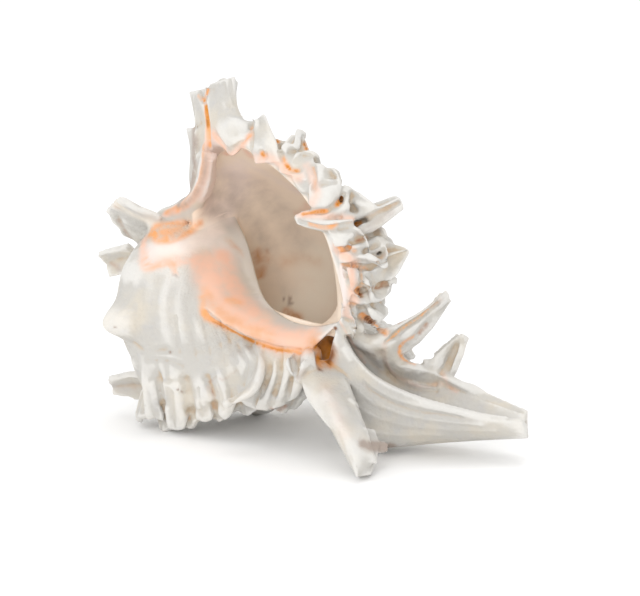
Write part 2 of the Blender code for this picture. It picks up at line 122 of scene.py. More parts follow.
# Fronds of the outer lip and the canal: (x, y, forward) from root to tip, then widths and hollow
LIP_FRONDS = {
    "shoulder_left": ([(204, 170, -2), (208, 145, -1), (208, 115, -4), (206, 92, -7)], (3, 9, 9, 9), 0.3),
    "shoulder_right": ([(224, 132, -3), (223, 115, -5), (224, 98, -8), (229, 79, -11)], (9, 12, 11, 6), 0.2),
    "second": ([(248, 145, 0), (253, 137, -2), (257, 127, -5), (262, 113, -8)], (8, 12, 9, 1.5), 0.25),
    "third": ([(278, 157, 0), (285, 151, -3), (292, 143, -6), (301, 135, -10)], (8, 13, 10, 5), 0.25),
    "fourth": ([(301, 173, -1), (308, 168, -3), (314, 165, -5), (321, 163, -7)], (8, 10, 9, 4), 0.25),
    "fifth": ([(317, 193, 0), (324, 187, -2), (331, 182, -4), (338, 178, -7)], (7, 11, 9, 4), 0.2),
    "sixth": ([(333, 208, -2), (341, 203, -5), (348, 198, -8), (356, 194, -11)], (7, 11, 9, 5), 0.25),
    "long_upper": (
        [(299, 218, 3), (330, 224, 0), (366, 220, -9), (401, 201, -18)], (2, 4, 7, 3.5), 0.45,
    ),
    "upper_middle": (
        [(336, 246, 2), (353, 240, -2), (370, 238, -8), (389, 244, -14)], (2.5, 10, 11, 4), 0.3,
    ),
    "pointed": ([(341, 263, 2), (362, 264, -2), (384, 260, -9), (408, 249, -17)], (2.5, 10, 10, 1), 0.4),
    "lower_middle": (
        [(348, 287, 2), (362, 284, -2), (377, 282, -8), (393, 282, -13)], (2.5, 10, 11, 5), 0.3,
    ),
    "low": ([(343, 309, 2), (358, 305, -2), (370, 307, -6), (383, 311, -11)], (2.5, 9, 10, 4), 0.3),
    "long_canal": (
        [(368, 340, -6), (396, 345, -15), (424, 324, -23), (446, 296, -31)], (6, 5.5, 5, 3.5), 0.3,
    ),
    "canal_middle": (
        [(425, 372, -21), (444, 368, -26), (456, 352, -30), (464, 336, -34)], (7, 9, 7, 4), 0.4,
    ),
}
FROND_THICKNESS = 2.3

# The flange that carries the lip's fronds, as (x, y, forward)
WEB_ROOT = [
    (214, 141, -1), (240, 146, -1), (265, 159, -1), (290, 177, -1), (312, 199, -1),
    (328, 223, -1), (338, 248, -1), (345, 275, -1), (350, 300, -1), (353, 320, -2),
]
WEB_EDGE = [
    (222, 121, -5), (250, 128, -7), (276, 142, -8), (314, 160, -9), (336, 183, -11), (358, 207, -13),
    (374, 229, -15), (383, 253, -16), (383, 280, -16), (381, 306, -15), (372, 326, -13),
]

# The canal: its slit edge, its fold and its far edge as (x, y, forward), and how deep it is
SLIT_EDGE = [
    (337, 325, 0), (345, 337, -1), (359, 360, -3), (380, 379, -6),
    (416, 396, -11), (468, 412, -18), (494, 418, -23), (523, 420, -28),
]
CANAL_FOLD = [
    (330, 366, 0), (345, 405, 0), (364, 441, -1), (395, 442, -7),
    (430, 439, -14), (480, 436, -23), (528, 434, -29),
]
FAR_EDGE = [
    (352, 322, -3), (372, 345, -9), (392, 360, -15), (416, 366, -19),
    (437, 371, -24), (470, 388, -28), (494, 399, -31), (526, 413, -33),
]
CANAL_DEPTHS = (15, 15, 13, 10, 6)
CANAL_WALL = 2.5
CANAL_BULGE = 0.14
CANAL_UNDERSIDE = (0.12, 0.7)

# The older canal and its flap, and a small fold beside it, as (x, y, depth)
OLD_CANAL = [(309, 368, 84), (320, 390, 91), (332, 414, 98), (346, 441, 105), (361, 469, 111)]
OLD_CANAL_WIDTHS = (10, 10, 9, 8, 6)
OLD_CANAL_WALL = 2.6
OLD_CANAL_HOLLOW = 0.8
OLD_CANAL_FLAP = [(352, 446, 98), (366, 448, 96), (388, 447, 93)]
FLAP_WIDTHS = (2.4, 2.4, 2.0)
FLAP_HOLLOW = 0.2
FLAP_ROUGH = 0.3
SMALL_FOLD = [(318, 362, 76), (307, 371, 80), (296, 377, 83)]
SMALL_FOLD_WIDTHS = (6, 7, 6)
SMALL_FOLD_HOLLOW = 0.9

# The way the older canal's groove faces: to the right, up and towards the viewer
OLD_CANAL_FACING = (0.75, -0.25, -0.6)

# The lip on the columella: its free edge and its inner edge, as (x, y, depth)
CALLUS_EDGE = [
    (184, 222, 27), (187, 240, 39.5), (191, 262, 46), (196, 285, 51.4), (202, 308, 56.6),
    (225, 325, 61), (250, 338, 66), (276, 347, 72), (306, 351, 80), (334, 328, 87),
]
CALLUS_INNER = [
    (222, 194, 25), (235, 217, 30), (247, 243, 37), (257, 280, 46), (266, 301, 56),
    (282, 316, 65), (300, 324, 73), (320, 326, 81), (338, 322, 87),
]
CALLUS_THICKNESS = 11.0
CALLUS_BULGE = (0.0, 2.5, 3.0, 3.0, 2.0, 0.5)
CORNER = [(208, 160, 66), (203, 185, 57), (193, 203, 46), (177, 214, 36), (155, 221, 28)]
CORNER_WIDTHS = (3, 3.5, 4, 5, 4)
CORNER_HOLLOW = 0.1
CORNER_THICKNESS = 4.0

# Fronds of the older varices, as (x, y, depth) from root to tip, then widths and hollow
LOWER_FRONDS = {
    "first": ([(156, 388, 36), (151, 404, 38), (147, 419, 40)], (14, 14, 10), 0.2),
    "second": ([(174, 396, 42), (175, 412, 44), (176, 427, 46)], (14, 16, 13), 0.2),
    "third": ([(195, 393, 48), (198, 408, 51), (202, 420, 53)], (13, 15, 10), 0.2),
    "fourth": ([(214, 385, 54), (222, 402, 57), (229, 416, 58)], (12, 13, 8), 0.2),
    "fifth": ([(236, 376, 58), (247, 395, 60), (257, 410, 60)], (12, 13, 8), 0.2),
    "sixth": ([(284, 352, 68), (283, 380, 66), (278, 408, 62)], (9, 12, 7), 0.2),
    "seventh": ([(299, 352, 72), (298, 378, 68), (292, 403, 62)], (9, 12, 6), 0.2),
}
BACK_FRONDS = {
    "low_left": ([(158, 387, 26), (136, 385, 20), (111, 386, 16)], (9, 9, 5.5), 0.2),
    "high_left": ([(152, 228, 27), (134, 219, 28), (113, 204, 29)], (26, 21, 12), 0.08),
    "behind_left": ([(136, 257, 14), (119, 260, 10), (105, 264, 7)], (9, 8, 8), 0.25),
}

# Fronds that the photo hides, as (station on the outline, length, width at full size)
DORSAL_FRONDS = [
    (0.29, 17, 17), (0.40, 9, 12), (0.50, 13, 12), (0.60, 9, 11),
    (0.69, 13, 11), (0.78, 10, 10), (0.87, 12, 9),
]
SPIRE_FROND = (0.30, 13, 15)
SPIRE_FRONDS = 4
HIDDEN_ROOT = 3.0
HIDDEN_MIDDLE = 0.4
HIDDEN_TAPER = (1.0, 0.8, 0.4)
HIDDEN_HOLLOW = 0.35
LEAN_BACK = 0.45

# Where the spire's tip lies in the frame, in millimetres
APEX = (-53.176, 60.172, 38.458)

# How finely the shell is drawn here
FINE_VOXEL = 0.47
FINE_TRIANGLES = 190000
CURVE_STEPS = 24
OUTLINE_STEPS = 100
VOXEL_SMOOTHING = 0.5
VOXEL_PASSES = 2

# Where the cords set in along the outline and where they grow stronger, as (start, width)
CORDS_RISE = (0.2, 0.15)
BASE_CORDS_RISE = (0.5, 0.3)

# Riblets between the cords, and how far and how quickly they sway with the turn
RIBLETS = 39
RIBLET_HEIGHT = 0.14
RIBLET_SWAY = 0.004
RIBLET_SWAY_RATE = 0.21

# Growth lines: three waves along the turn, slanting across the whorl
PLEAT_HEIGHT = 0.35
PLEAT_RATES = (1.13, 1.71, 2.9)
PLEAT_PHASE = 40
PLEAT_SLANT = 9
PLEAT_SLANT_RATE = 0.3
PLEAT_RISE = 4

# How much of the whorl's relief is worn smooth, as (turns, shares)
WORN = ((-400, -375, -318, -298, -242, -225, 0), (0, 0.92, 0.92, 0.72, 0.72, 0.2, 0))

# How far the fronds lie behind the strips that show their folds
SET_BACK = 4.0
LOWER_SET_BACK = 5.0

# How uneven the fronds are, in millimetres or as a share of their width
FROND_SEED = 7
FROND_RAGGED = 0.7
FROND_THINNING = 0.25
FROND_ROUGH = 0.6
FLUTE_WIDTH = 3.4
FLUTE_DEPTH = 0.4
FLUTE_DRIFT = 2
SCALE_STEP = 4.5
SCALE_HEIGHT = 0.3
SCALE_BEND = 0.5
EDGE_SCALLOP = 0.07
ROUGH_RISE = 2.5
HOLLOW_POWER = 1.6
TIP_POWER = 4
BACK_WIDER = 0.35

# Fronds narrower or shorter than this, in millimetres, are less fluted and less ragged
FULL_WIDTH = 12
FULL_LENGTH = 20.0

# The uneven lines of edges and tips: their periods, least and greatest height, and last phase
EDGE_WAVES = (4.1, 7.3)
TIP_WAVES = (3.3, 5.1)
WAVE_HEIGHTS = (0.4, 1.0)
LAST_PHASE = 6.28

# Strips that the lip's folds are drawn from: one edge and the other as (x, y, forward), then
# how far the middle stands out along the strip, and where it is fluted, how many times and how deep
LIP_STRIPS = {
    "left_low": (
        [(192, 198, -1), (189, 178, -3), (190, 150, -4), (186, 128, -5)],
        [(201, 198, 2), (206, 176, 1), (208, 150, 0), (208, 127, -2)], (0.5, 0.8, 0.6),
    ),
    "left_high": (
        [(195, 136, -6), (195, 122, -6), (192, 104, -7), (189, 92, -8)],
        [(210, 140, -2), (209, 120, -3), (206, 103, -5), (210, 87, -8)], (0.3, 0.5, 0.6),
    ),
    "big": (
        [(209, 150, -1), (208, 126, -3), (205, 106, -6), (210, 84, -10)],
        [(250, 140, -3), (247, 121, -6), (238, 106, -9), (235, 76, -12)], (0.5, 2.5, 2.5, 1.2), (2.5, 0.15),
    ),
    "blister": (
        [(213, 128, -1.5), (219, 118, -3), (232, 115, -4), (249, 122, -5)],
        [(214, 137, -0.5), (224, 149, -0.5), (233, 156, -0.5), (251, 138, -3)], (0.8, 2.4, 2.6, 1.0),
    ),
    "second": (
        [(255, 164, 1), (252, 146, -1), (254, 128, -4), (261, 113, -8)],
        [(280, 161, 0), (277, 143, -3), (270, 127, -6), (265, 113, -8)], (1.0, 2.0, 1.5, 0.3), (1, 0.3),
    ),
    "third": (
        [(279, 172, 1), (280, 157, -1), (283, 145, -4), (292, 134, -9)],
        [(305, 180, 0), (314, 165, -5), (310, 151, -8), (304, 137, -10)], (1.5, 0.5, -0.8, 0.0), (1, 0.3),
    ),
    "fourth": (
        [(298, 173, -1), (309, 165, -4), (322, 164, -6), (333, 175, -7)],
        [(292, 179, 1), (302, 192, 1), (314, 190, 0), (334, 183, -5)], (0.8, 2.0, 2.0, 0.5),
    ),
    "fifth": (
        [(309, 185, 1), (318, 179, -2), (330, 179, -4), (341, 180, -6)],
        [(309, 205, 2), (318, 211, 1), (329, 211, -1), (340, 196, -5)], (1.0, 2.2, 2.2, 0.5),
    ),
    "tube_top": (
        [(295, 215, 4), (308, 210, 2), (323, 211, 0), (339, 200, -4)],
        [(295, 220, 4), (306, 218, 3), (325, 219, 1), (343, 211, -5)], (0.8, 1.0, 0.8),
    ),
    "tube_low": (
        [(294, 217, 4), (310, 219, 3), (330, 220, 1), (354, 219, -4)],
        [(297, 224, 4), (312, 229, 2), (330, 231, 1), (353, 228, -4)], (0.8, 1.6, 1.4, 0.6),
    ),
    "hollow_rim": (
        [(344, 193, -7), (343, 202, -5), (338, 208, -3), (329, 213, -1)],
        [(349, 197, -7), (350, 208, -6), (344, 217, -4), (332, 218, -1)], (0.8, 0.8),
    ),
    "back_high": (
        [(343, 194, -9), (348, 189, -10), (358, 192, -11), (376, 205, -12)],
        [(345, 211, -8), (353, 215, -8), (363, 214, -9), (379, 210, -12)], (1.0, 1.6, 0.5), (2, 0.45),
    ),
    "long_top": (
        [(341, 214, -3), (359, 211, -8), (379, 206, -13), (399, 197, -18)],
        [(346, 222, -3), (363, 219, -8), (381, 211, -13), (401, 202, -18)], (0.5, 0.9, 0.5),
    ),
    "long_wall": (
        [(350, 235, -2), (359, 226, -6), (377, 215, -12), (402, 201, -18)],
        [(349, 244, -2), (363, 238, -6), (383, 225, -12), (404, 209, -18)], (1.0, 1.8, 1.4, 0.5),
    ),
    "long_floor": (
        [(346, 223, -6), (363, 220, -10), (381, 212, -15), (400, 203, -19)],
        [(350, 234, -5), (359, 225, -9), (377, 215, -14), (401, 202, -19)], (-0.6, -0.8, -0.4),
    ),
    "tooth": (
        [(328, 231, 2), (340, 231, 0), (354, 228, -4)],
        [(335, 247, 3), (344, 246, 1), (353, 243, -2)], (1.0, 1.2, 0.8),
    ),
    "white_lobe": (
        [(350, 243, -1), (358, 239, -4), (368, 240, -7), (376, 242, -10)],
        [(352, 251, -1), (362, 253, -4), (370, 251, -7), (375, 247, -10)], (0.8, 1.8, 0.8),
    ),
    "pink_fold": (
        [(338, 249, 2), (347, 249, 0), (358, 250, -4)],
        [(339, 263, 3), (350, 262, 1), (362, 258, -4)], (0.8, 1.3, 0.8),
    ),
    "back_middle": (
        [(373, 230, -12), (384, 228, -14), (389, 241, -15)],
        [(371, 251, -11), (382, 253, -13), (392, 251, -15)], (1.0, 1.6, 0.5), (1.5, 0.5),
    ),
    "pointed_top": (
        [(352, 259, -1), (370, 257, -6), (388, 253, -12), (408, 249, -17)],
        [(350, 265, -1), (368, 267, -6), (386, 262, -11), (407, 252, -17)], (0.8, 1.2, 0.8, 0.2),
    ),
    "pointed_low": (
        [(352, 268, -1), (367, 270, -5), (386, 264, -11), (407, 251, -17)],
        [(353, 286, -1), (364, 290, -5), (380, 288, -10), (394, 270, -14)], (1.0, 2.2, 1.8, 0.2), (1.5, 0.4),
    ),
    "pink_lobe": (
        [(346, 267, 2), (349, 278, 2), (351, 291, 1)],
        [(361, 268, -3), (363, 279, -4), (358, 291, -3)], (0.8, 1.8, 0.8),
    ),
    "grey_frond": (
        [(372, 290, -9), (384, 281, -12), (393, 279, -14)],
        [(374, 301, -9), (383, 299, -12), (391, 292, -14)], (1.0, 1.2, 0.4), (1, 0.4),
    ),
    "low_lobe": (
        [(355, 297, -2), (366, 292, -5), (375, 292, -8)],
        [(357, 306, -2), (370, 306, -6), (380, 300, -9)], (0.8, 1.6, 0.6),
    ),
    "crest": (
        [(341, 308, 2), (352, 306, -2), (366, 308, -6), (380, 307, -10)],
        [(341, 317, 2), (353, 316, -2), (366, 317, -6), (381, 314, -10)], (0.6, 1.4, 1.2, 0.4), (1, 0.3),
    ),
    "lump": (
        [(338, 322, 1), (345, 314, 0), (356, 316, -3), (363, 322, -5)],
        [(343, 331, -1), (350, 333, -2), (358, 334, -4), (366, 333, -6)], (0.8, 1.8, 0.8),
    ),
    "canal_root": (
        [(343, 330, -2), (356, 330, -5), (372, 335, -9), (388, 330, -13)],
        [(352, 345, -4), (366, 352, -7), (378, 353, -11), (391, 342, -14)], (0.8, 1.8, 1.8, 0.8),
    ),
    "tall_top": (
        [(378, 330, -11), (394, 325, -16), (421, 311, -24), (446, 290, -31)],
        [(389, 341, -14), (403, 329, -18), (425, 313, -25), (449, 294, -31)], (0.6, 1.0, 0.6),
    ),
    "tall_low": (
        [(388, 341, -14), (403, 329, -18), (425, 312, -25), (449, 294, -31)],
        [(399, 350, -17), (412, 340, -20), (430, 320, -26), (450, 300, -31)], (1.0, 1.2, 0.6),
    ),
    "bend": (
        [
            (396, 338, -15), (402, 352, -18), (410, 361, -20),
            (422, 364, -22), (434, 358, -25), (444, 348, -29),
        ],
        [
            (380, 348, -11), (385, 366, -14), (398, 380, -17),
            (416, 387, -20), (434, 388, -23), (446, 384, -26),
        ],
        (2.0, 3.2, 2.8, 1.8),
    ),
    "last_frond": (
        [(428, 363, -23), (437, 354, -26), (450, 342, -31), (462, 333, -34)],
        [(450, 383, -26), (453, 370, -29), (459, 358, -32), (468, 341, -34)], (1.0, 1.0, 0.6), (1, 0.3),
    ),
    "far_band": (
        [(438, 380, -24), (456, 382, -27), (475, 385, -30), (500, 402, -33), (526, 413, -34)],
        [(438, 387, -23), (456, 394, -26), (470, 402, -28), (495, 412, -31), (526, 417, -33)],
        (0.6, 0.7, 0.4),
    ),
    "channel": (
        [
            (346, 331, -3), (370, 350, -10), (388, 372, -15),
            (418, 384, -19), (455, 391, -25), (526, 415, -32),
        ],
        [
            (346, 352, -6), (362, 374, -8), (382, 392, -11),
            (416, 406, -15), (460, 418, -20), (524, 425, -29),
        ],
        (0.0, -1.0, -0.5, -0.3, 0.0),
    ),
}
STRIP_THICKNESS = 3.2

# Strips on the older parts, with depths: the old canal and its trough, the gap beside it and
# the folds below the columella
OLD_STRIPS = {
    "old_canal": (
        [(299, 372, 82), (307, 398, 88), (325, 423, 96), (337, 436, 101), (347, 454, 106), (356, 477, 111)],
        [(323, 371, 84), (341, 393, 91), (352, 416, 98), (361, 441, 105), (364, 460, 109), (362, 477, 112)],
        (1.5, 3.0, 3.0, 2.5, 1.0),
    ),
    "old_trough": (
        [(350, 425, 96), (360, 442, 101), (363, 459, 106), (359, 477, 110)],
        [(374, 430, 91), (379, 443, 95), (377, 458, 100), (371, 475, 106)], (0.6, 1.2, 0.8),
    ),
    "gap_floor": (
        [(304, 336, 74), (312, 356, 74), (316, 376, 76)],
        [(342, 322, 74), (340, 350, 76), (336, 372, 78)], (-1.0, -2.0, -1.0),
    ),
    "fold_lobe": (
        [(301, 354, 81), (307, 349, 83), (314, 351, 83)],
        [(300, 366, 81), (308, 374, 84), (317, 372, 84)], (0.8, 2.2, 0.8),
    ),
    "front_fold": (
        [(258, 350, 67), (254, 370, 71), (244, 389, 73), (224, 403, 74)],
        [(268, 354, 69), (265, 376, 73), (254, 395, 75), (226, 407, 74)], (0.8, 1.8, 1.5, 0.3),
    ),
    "fifth_fold": (
        [(270, 352, 69), (267, 374, 71), (261, 393, 70), (255, 409, 66)],
        [(281, 354, 71), (279, 376, 73), (273, 395, 71), (268, 411, 67)], (0.6, 1.4, 1.2, 0.5),
    ),
    "sixth_fold": (
        [(282, 352, 72), (281, 374, 74), (276, 394, 72), (271, 410, 68)],
        [(292, 354, 74), (293, 372, 76), (290, 390, 73), (285, 405, 69)], (0.6, 1.4, 1.2, 0.5),
    ),
    "seventh_fold": (
        [(292, 353, 76), (294, 372, 78), (292, 388, 76), (288, 402, 71)],
        [(300, 358, 79), (304, 374, 80), (303, 386, 78), (298, 397, 73)], (0.8, 1.4, 1.2, 0.5),
    ),
}
OLD_STRIP_THICKNESS = 5.0

# The lower varix below the ledge: places on the whorl and the edge under each, with depths
SKIRT_TOP = [
    (131, 360, 37.5), (134, 355, 41), (139, 350, 44), (144, 349, 45.5), (148, 350, 46), (151, 352, 46.5),
    (155, 354, 47.5), (166, 356, 48.8), (176, 358, 50.4), (182, 359, 51), (188, 360, 51.4),
    (195, 361, 52.5), (201, 361, 53.2), (206, 360, 53.8), (211, 359, 54.6), (217, 357, 55.5),
    (223, 355, 56), (230, 352, 57), (237, 348, 58), (246, 345, 60), (255, 344, 62.5),
    (263, 345, 65), (272, 347, 67), (282, 349, 70), (292, 351, 73), (299, 353, 76),
]
SKIRT_EDGE = [
    (137, 377, 33), (152, 398, 37), (147, 419, 41), (155, 417, 41), (163, 421, 43), (166, 404, 41.5),
    (169, 428, 45), (177, 429, 44.5), (184, 428, 48), (192, 406, 48), (197, 419, 51), (205, 421, 51.5),
    (212, 419, 54), (216, 406, 54), (218, 414, 56), (225, 420, 57), (233, 411, 58), (238, 399, 59),
    (246, 406, 61), (257, 410, 64), (268, 411, 66), (276, 408, 67), (285, 405, 68), (292, 396, 70),
    (299, 386, 73), (303, 376, 76),
]
SKIRT_THICKNESS = 4.5
SKIRT_SWELL = 3.2

# The sheets that the skin is drawn from, kept to tell its parts apart, and the measure given to
# the wound ones across, in millimetres
BACK = "_back"
WOUND = ("early_whorls", "last_whorl")
OUTLINE_LENGTH = 150.0
HOLLOW_SHEETS = ("last_whorl_back", "columella", "columella_back")
GLAZED_SHEETS = HOLLOW_SHEETS + ("callus", "corner")
DRAWN = []

# Lines in the photo along which one part grows smoothly into another, each with a reach
SEAMS = [
    ([(184, 222), (188, 240), (193, 262), (198, 280), (202, 302)], 3.5),
    ([(150, 228), (170, 232), (190, 230), (206, 222)], 6.0),
    ([(148, 250), (168, 254), (188, 250), (206, 240)], 5.0),
    ([(204, 206), (214, 214), (226, 224)], 4.0),
    ([(224, 122), (232, 130), (241, 122)], 3.0),
    ([(157, 224), (176, 221), (192, 214), (205, 203)], 1.8),
    ([(141, 357), (155, 360), (176, 364), (200, 367), (223, 361), (246, 352), (262, 349)], 4.0),
    ([(150, 366), (176, 372), (200, 374), (226, 368), (244, 358)], 3.0),
    ([(132, 347), (150, 352), (167, 356), (200, 358), (215, 355), (230, 347), (240, 343)], 3.0),
    ([(190, 219), (203, 214), (214, 205)], 4.0),
    ([(226, 92), (229, 104), (231, 112)], 2.5),
    ([(213, 127), (219, 118), (232, 114), (248, 121)], 5.0),
    ([(213, 127), (214, 134), (222, 144)], 3.0),
    ([(249, 121), (250, 136), (242, 146)], 3.0),
    ([(204, 148), (210, 150), (217, 151)], 3.0),
    ([(185, 222), (196, 214), (208, 206)], 5.0),
    ([(356, 222), (366, 217), (374, 214)], 2.0),
    ([(370, 337), (378, 344), (387, 350)], 3.0),
    ([(352, 420), (361, 441), (364, 460), (362, 474)], 2.5),
    ([(357, 477), (364, 478), (371, 475)], 2.0),
    ([(345, 333), (353, 341), (361, 349)], 2.0),
]
SEAM_PASSES = 90
SEAM_PULL = 0.8

# A line drawn in the photo: the step between its marks in pixels, how many reaches it is felt
# over, a distance past all marks, and how far a surface may turn away from a mark that it shares
MARK_SPACING = 1.5
MARK_LIMIT = 3
FAR_OFF = 1e9
FACING_AWAY = -0.2

# How many rounds of smoothing tell a hollow from a ridge
CAVITY_PASSES = 12

# Which sheet the skin follows: how many of the sheets' points are asked, how evenly they count,
# over how many rounds the answer is spread, and past what size every other point will do
SHEET_NEIGHBOURS = 4
SHEET_SOFTNESS = 0.05
KIND_PASSES = 12
LARGE_SHEET = 20000

# Grooves and ridges as (line in the photo, reach, height)
LIP_RELIEF = [
    ([(209, 88), (205, 99), (206, 112), (208, 126), (209, 146)], 0.9, -0.94),
    ([(203, 100), (199, 92)], 0.8, -0.86),
    ([(185, 128), (190, 127), (196, 126)], 0.8, -0.88),
    ([(253, 122), (252, 134), (251, 146)], 0.9, -0.92),
    ([(223, 84), (226, 96), (230, 106)], 0.8, -0.6),
    ([(229, 80), (231, 92), (235, 104)], 0.7, -0.6),
    ([(218, 84), (222, 96), (226, 104)], 0.8, -0.3),
    ([(214, 132), (222, 143), (230, 150), (240, 143), (249, 135)], 0.8, -0.7),
    ([(262, 153), (265, 155)], 1.1, -0.94),
    ([(279, 136), (279, 147), (282, 160)], 0.9, -0.92),
    ([(287, 166), (291, 170), (298, 170)], 1.0, -0.98),
    ([(305, 143), (307, 148)], 0.9, -0.92),
    ([(313, 166), (315, 178), (314, 188)], 0.8, -0.86),
    ([(322, 184), (334, 182)], 0.8, -0.7),
    ([(303, 214), (314, 212), (326, 211), (337, 204), (342, 196)], 0.8, -0.96),
    ([(300, 222), (325, 227), (352, 223)], 0.8, -0.8),
    ([(348, 193), (352, 206), (356, 212)], 0.9, -0.6),
    ([(357, 225), (370, 217), (384, 209), (398, 202)], 0.9, -0.94),
    ([(351, 243), (358, 241), (367, 237), (376, 232)], 0.9, -1.0),
    ([(337, 250), (349, 249)], 0.8, -0.88),
    ([(364, 252), (371, 249), (376, 245)], 0.8, -0.92),
    ([(345, 267), (356, 267), (367, 267), (385, 261), (404, 253)], 0.9, -0.98),
    ([(361, 268), (362, 284)], 0.7, -0.6),
    ([(371, 270), (375, 282)], 0.9, -0.5),
    ([(357, 290), (361, 296)], 1.1, -1.08),
    ([(366, 288), (374, 290), (381, 285), (388, 283)], 0.9, -1.0),
    ([(348, 304), (362, 307), (374, 305)], 0.8, -0.88),
    ([(362, 316), (369, 321), (375, 327)], 1.5, -1.12),
    ([(345, 321), (352, 322)], 0.8, -0.86),
    ([(375, 327), (385, 333)], 0.8, -0.88),
    ([(387, 342), (403, 328), (417, 319), (436, 303)], 0.8, -0.92),
    ([(456, 346), (449, 360), (442, 373)], 0.9, -0.8),
    ([(381, 352), (385, 368), (397, 382), (416, 389), (436, 390)], 0.8, -0.8),
]
BODY_RELIEF = [
    ([(150, 384), (152, 398), (151, 412)], 2.6, 0.9),
    ([(175, 386), (176, 404), (176, 422)], 3.0, 0.9),
    ([(200, 386), (202, 400), (204, 415)], 2.4, 0.9),
    ([(222, 380), (225, 396), (226, 412)], 2.0, 0.7),
    ([(158, 376), (162, 392), (165, 408)], 1.6, -1.0),
    ([(186, 380), (190, 396), (192, 409)], 1.6, -1.0),
    ([(208, 378), (213, 394), (216, 408)], 1.5, -0.9),
    ([(176, 318), (178, 336), (180, 352)], 0.6, -0.2),
    ([(190, 318), (193, 338), (197, 360)], 0.6, -0.2),
    ([(204, 322), (208, 342), (213, 362)], 0.6, -0.25),
    ([(216, 328), (221, 346), (226, 364)], 0.6, -0.25),
    ([(228, 334), (233, 350), (237, 362)], 0.6, -0.25),
    ([(146, 351), (167, 356), (200, 358), (215, 355), (230, 347), (240, 343)], 1.5, 0.4),
    ([(134, 344), (144, 351), (152, 352), (165, 350)], 1.2, -0.8),
    ([(108, 333), (118, 341), (126, 344)], 1.2, -0.6),
    ([(148, 360), (165, 360), (182, 366)], 1.0, -0.5),
    ([(152, 380), (168, 381), (186, 380)], 1.0, -0.5),
    ([(156, 362), (158, 378)], 0.8, -0.4),
    ([(166, 362), (168, 379)], 0.8, -0.4),
    ([(157, 384), (159, 404)], 0.9, -0.4),
    ([(174, 392), (176, 424)], 0.6, -0.25),
    ([(180, 392), (183, 424)], 0.6, -0.3),
    ([(186, 392), (188, 412)], 0.6, -0.3),
    ([(200, 388), (203, 414)], 0.6, -0.25),
    ([(206, 376), (214, 396)], 0.8, -0.4),
    ([(213, 372), (221, 392), (224, 410)], 0.6, -0.3),
    ([(222, 368), (230, 388), (232, 404)], 0.8, -0.4),
    ([(232, 362), (240, 380)], 0.7, -0.3),
    ([(238, 345), (247, 366), (243, 384)], 0.9, -0.6),
    ([(250, 345), (256, 362), (248, 384), (232, 400)], 0.9, -0.7),
    ([(262, 350), (270, 368), (264, 388), (257, 402)], 0.9, -0.8),
    ([(281, 354), (281, 374), (275, 394)], 0.9, -0.8),
    ([(292, 356), (293, 374), (290, 390)], 0.9, -0.7),
    ([(118, 218), (124, 230), (131, 240), (138, 246)], 1.0, -0.7),
    ([(206, 312), (225, 325), (250, 338), (270, 346), (300, 351)], 0.7, -0.8),
]
CANAL_RELIEF = [
    ([(344, 350), (362, 378), (395, 398), (445, 410), (505, 418)], 0.9, 0.45),
    ([(346, 378), (375, 402), (420, 417), (480, 424)], 0.9, 0.4),
    ([(350, 400), (380, 418), (430, 428), (495, 430)], 0.9, 0.35),
    ([(352, 364), (372, 390), (405, 408), (460, 418)], 0.8, -0.35),
    ([(366, 430), (400, 434), (440, 434)], 0.9, 0.3),
    ([(326, 392), (337, 420), (349, 450)], 1.6, 0.3),
]
RELIEF = LIP_RELIEF + BODY_RELIEF + CANAL_RELIEF

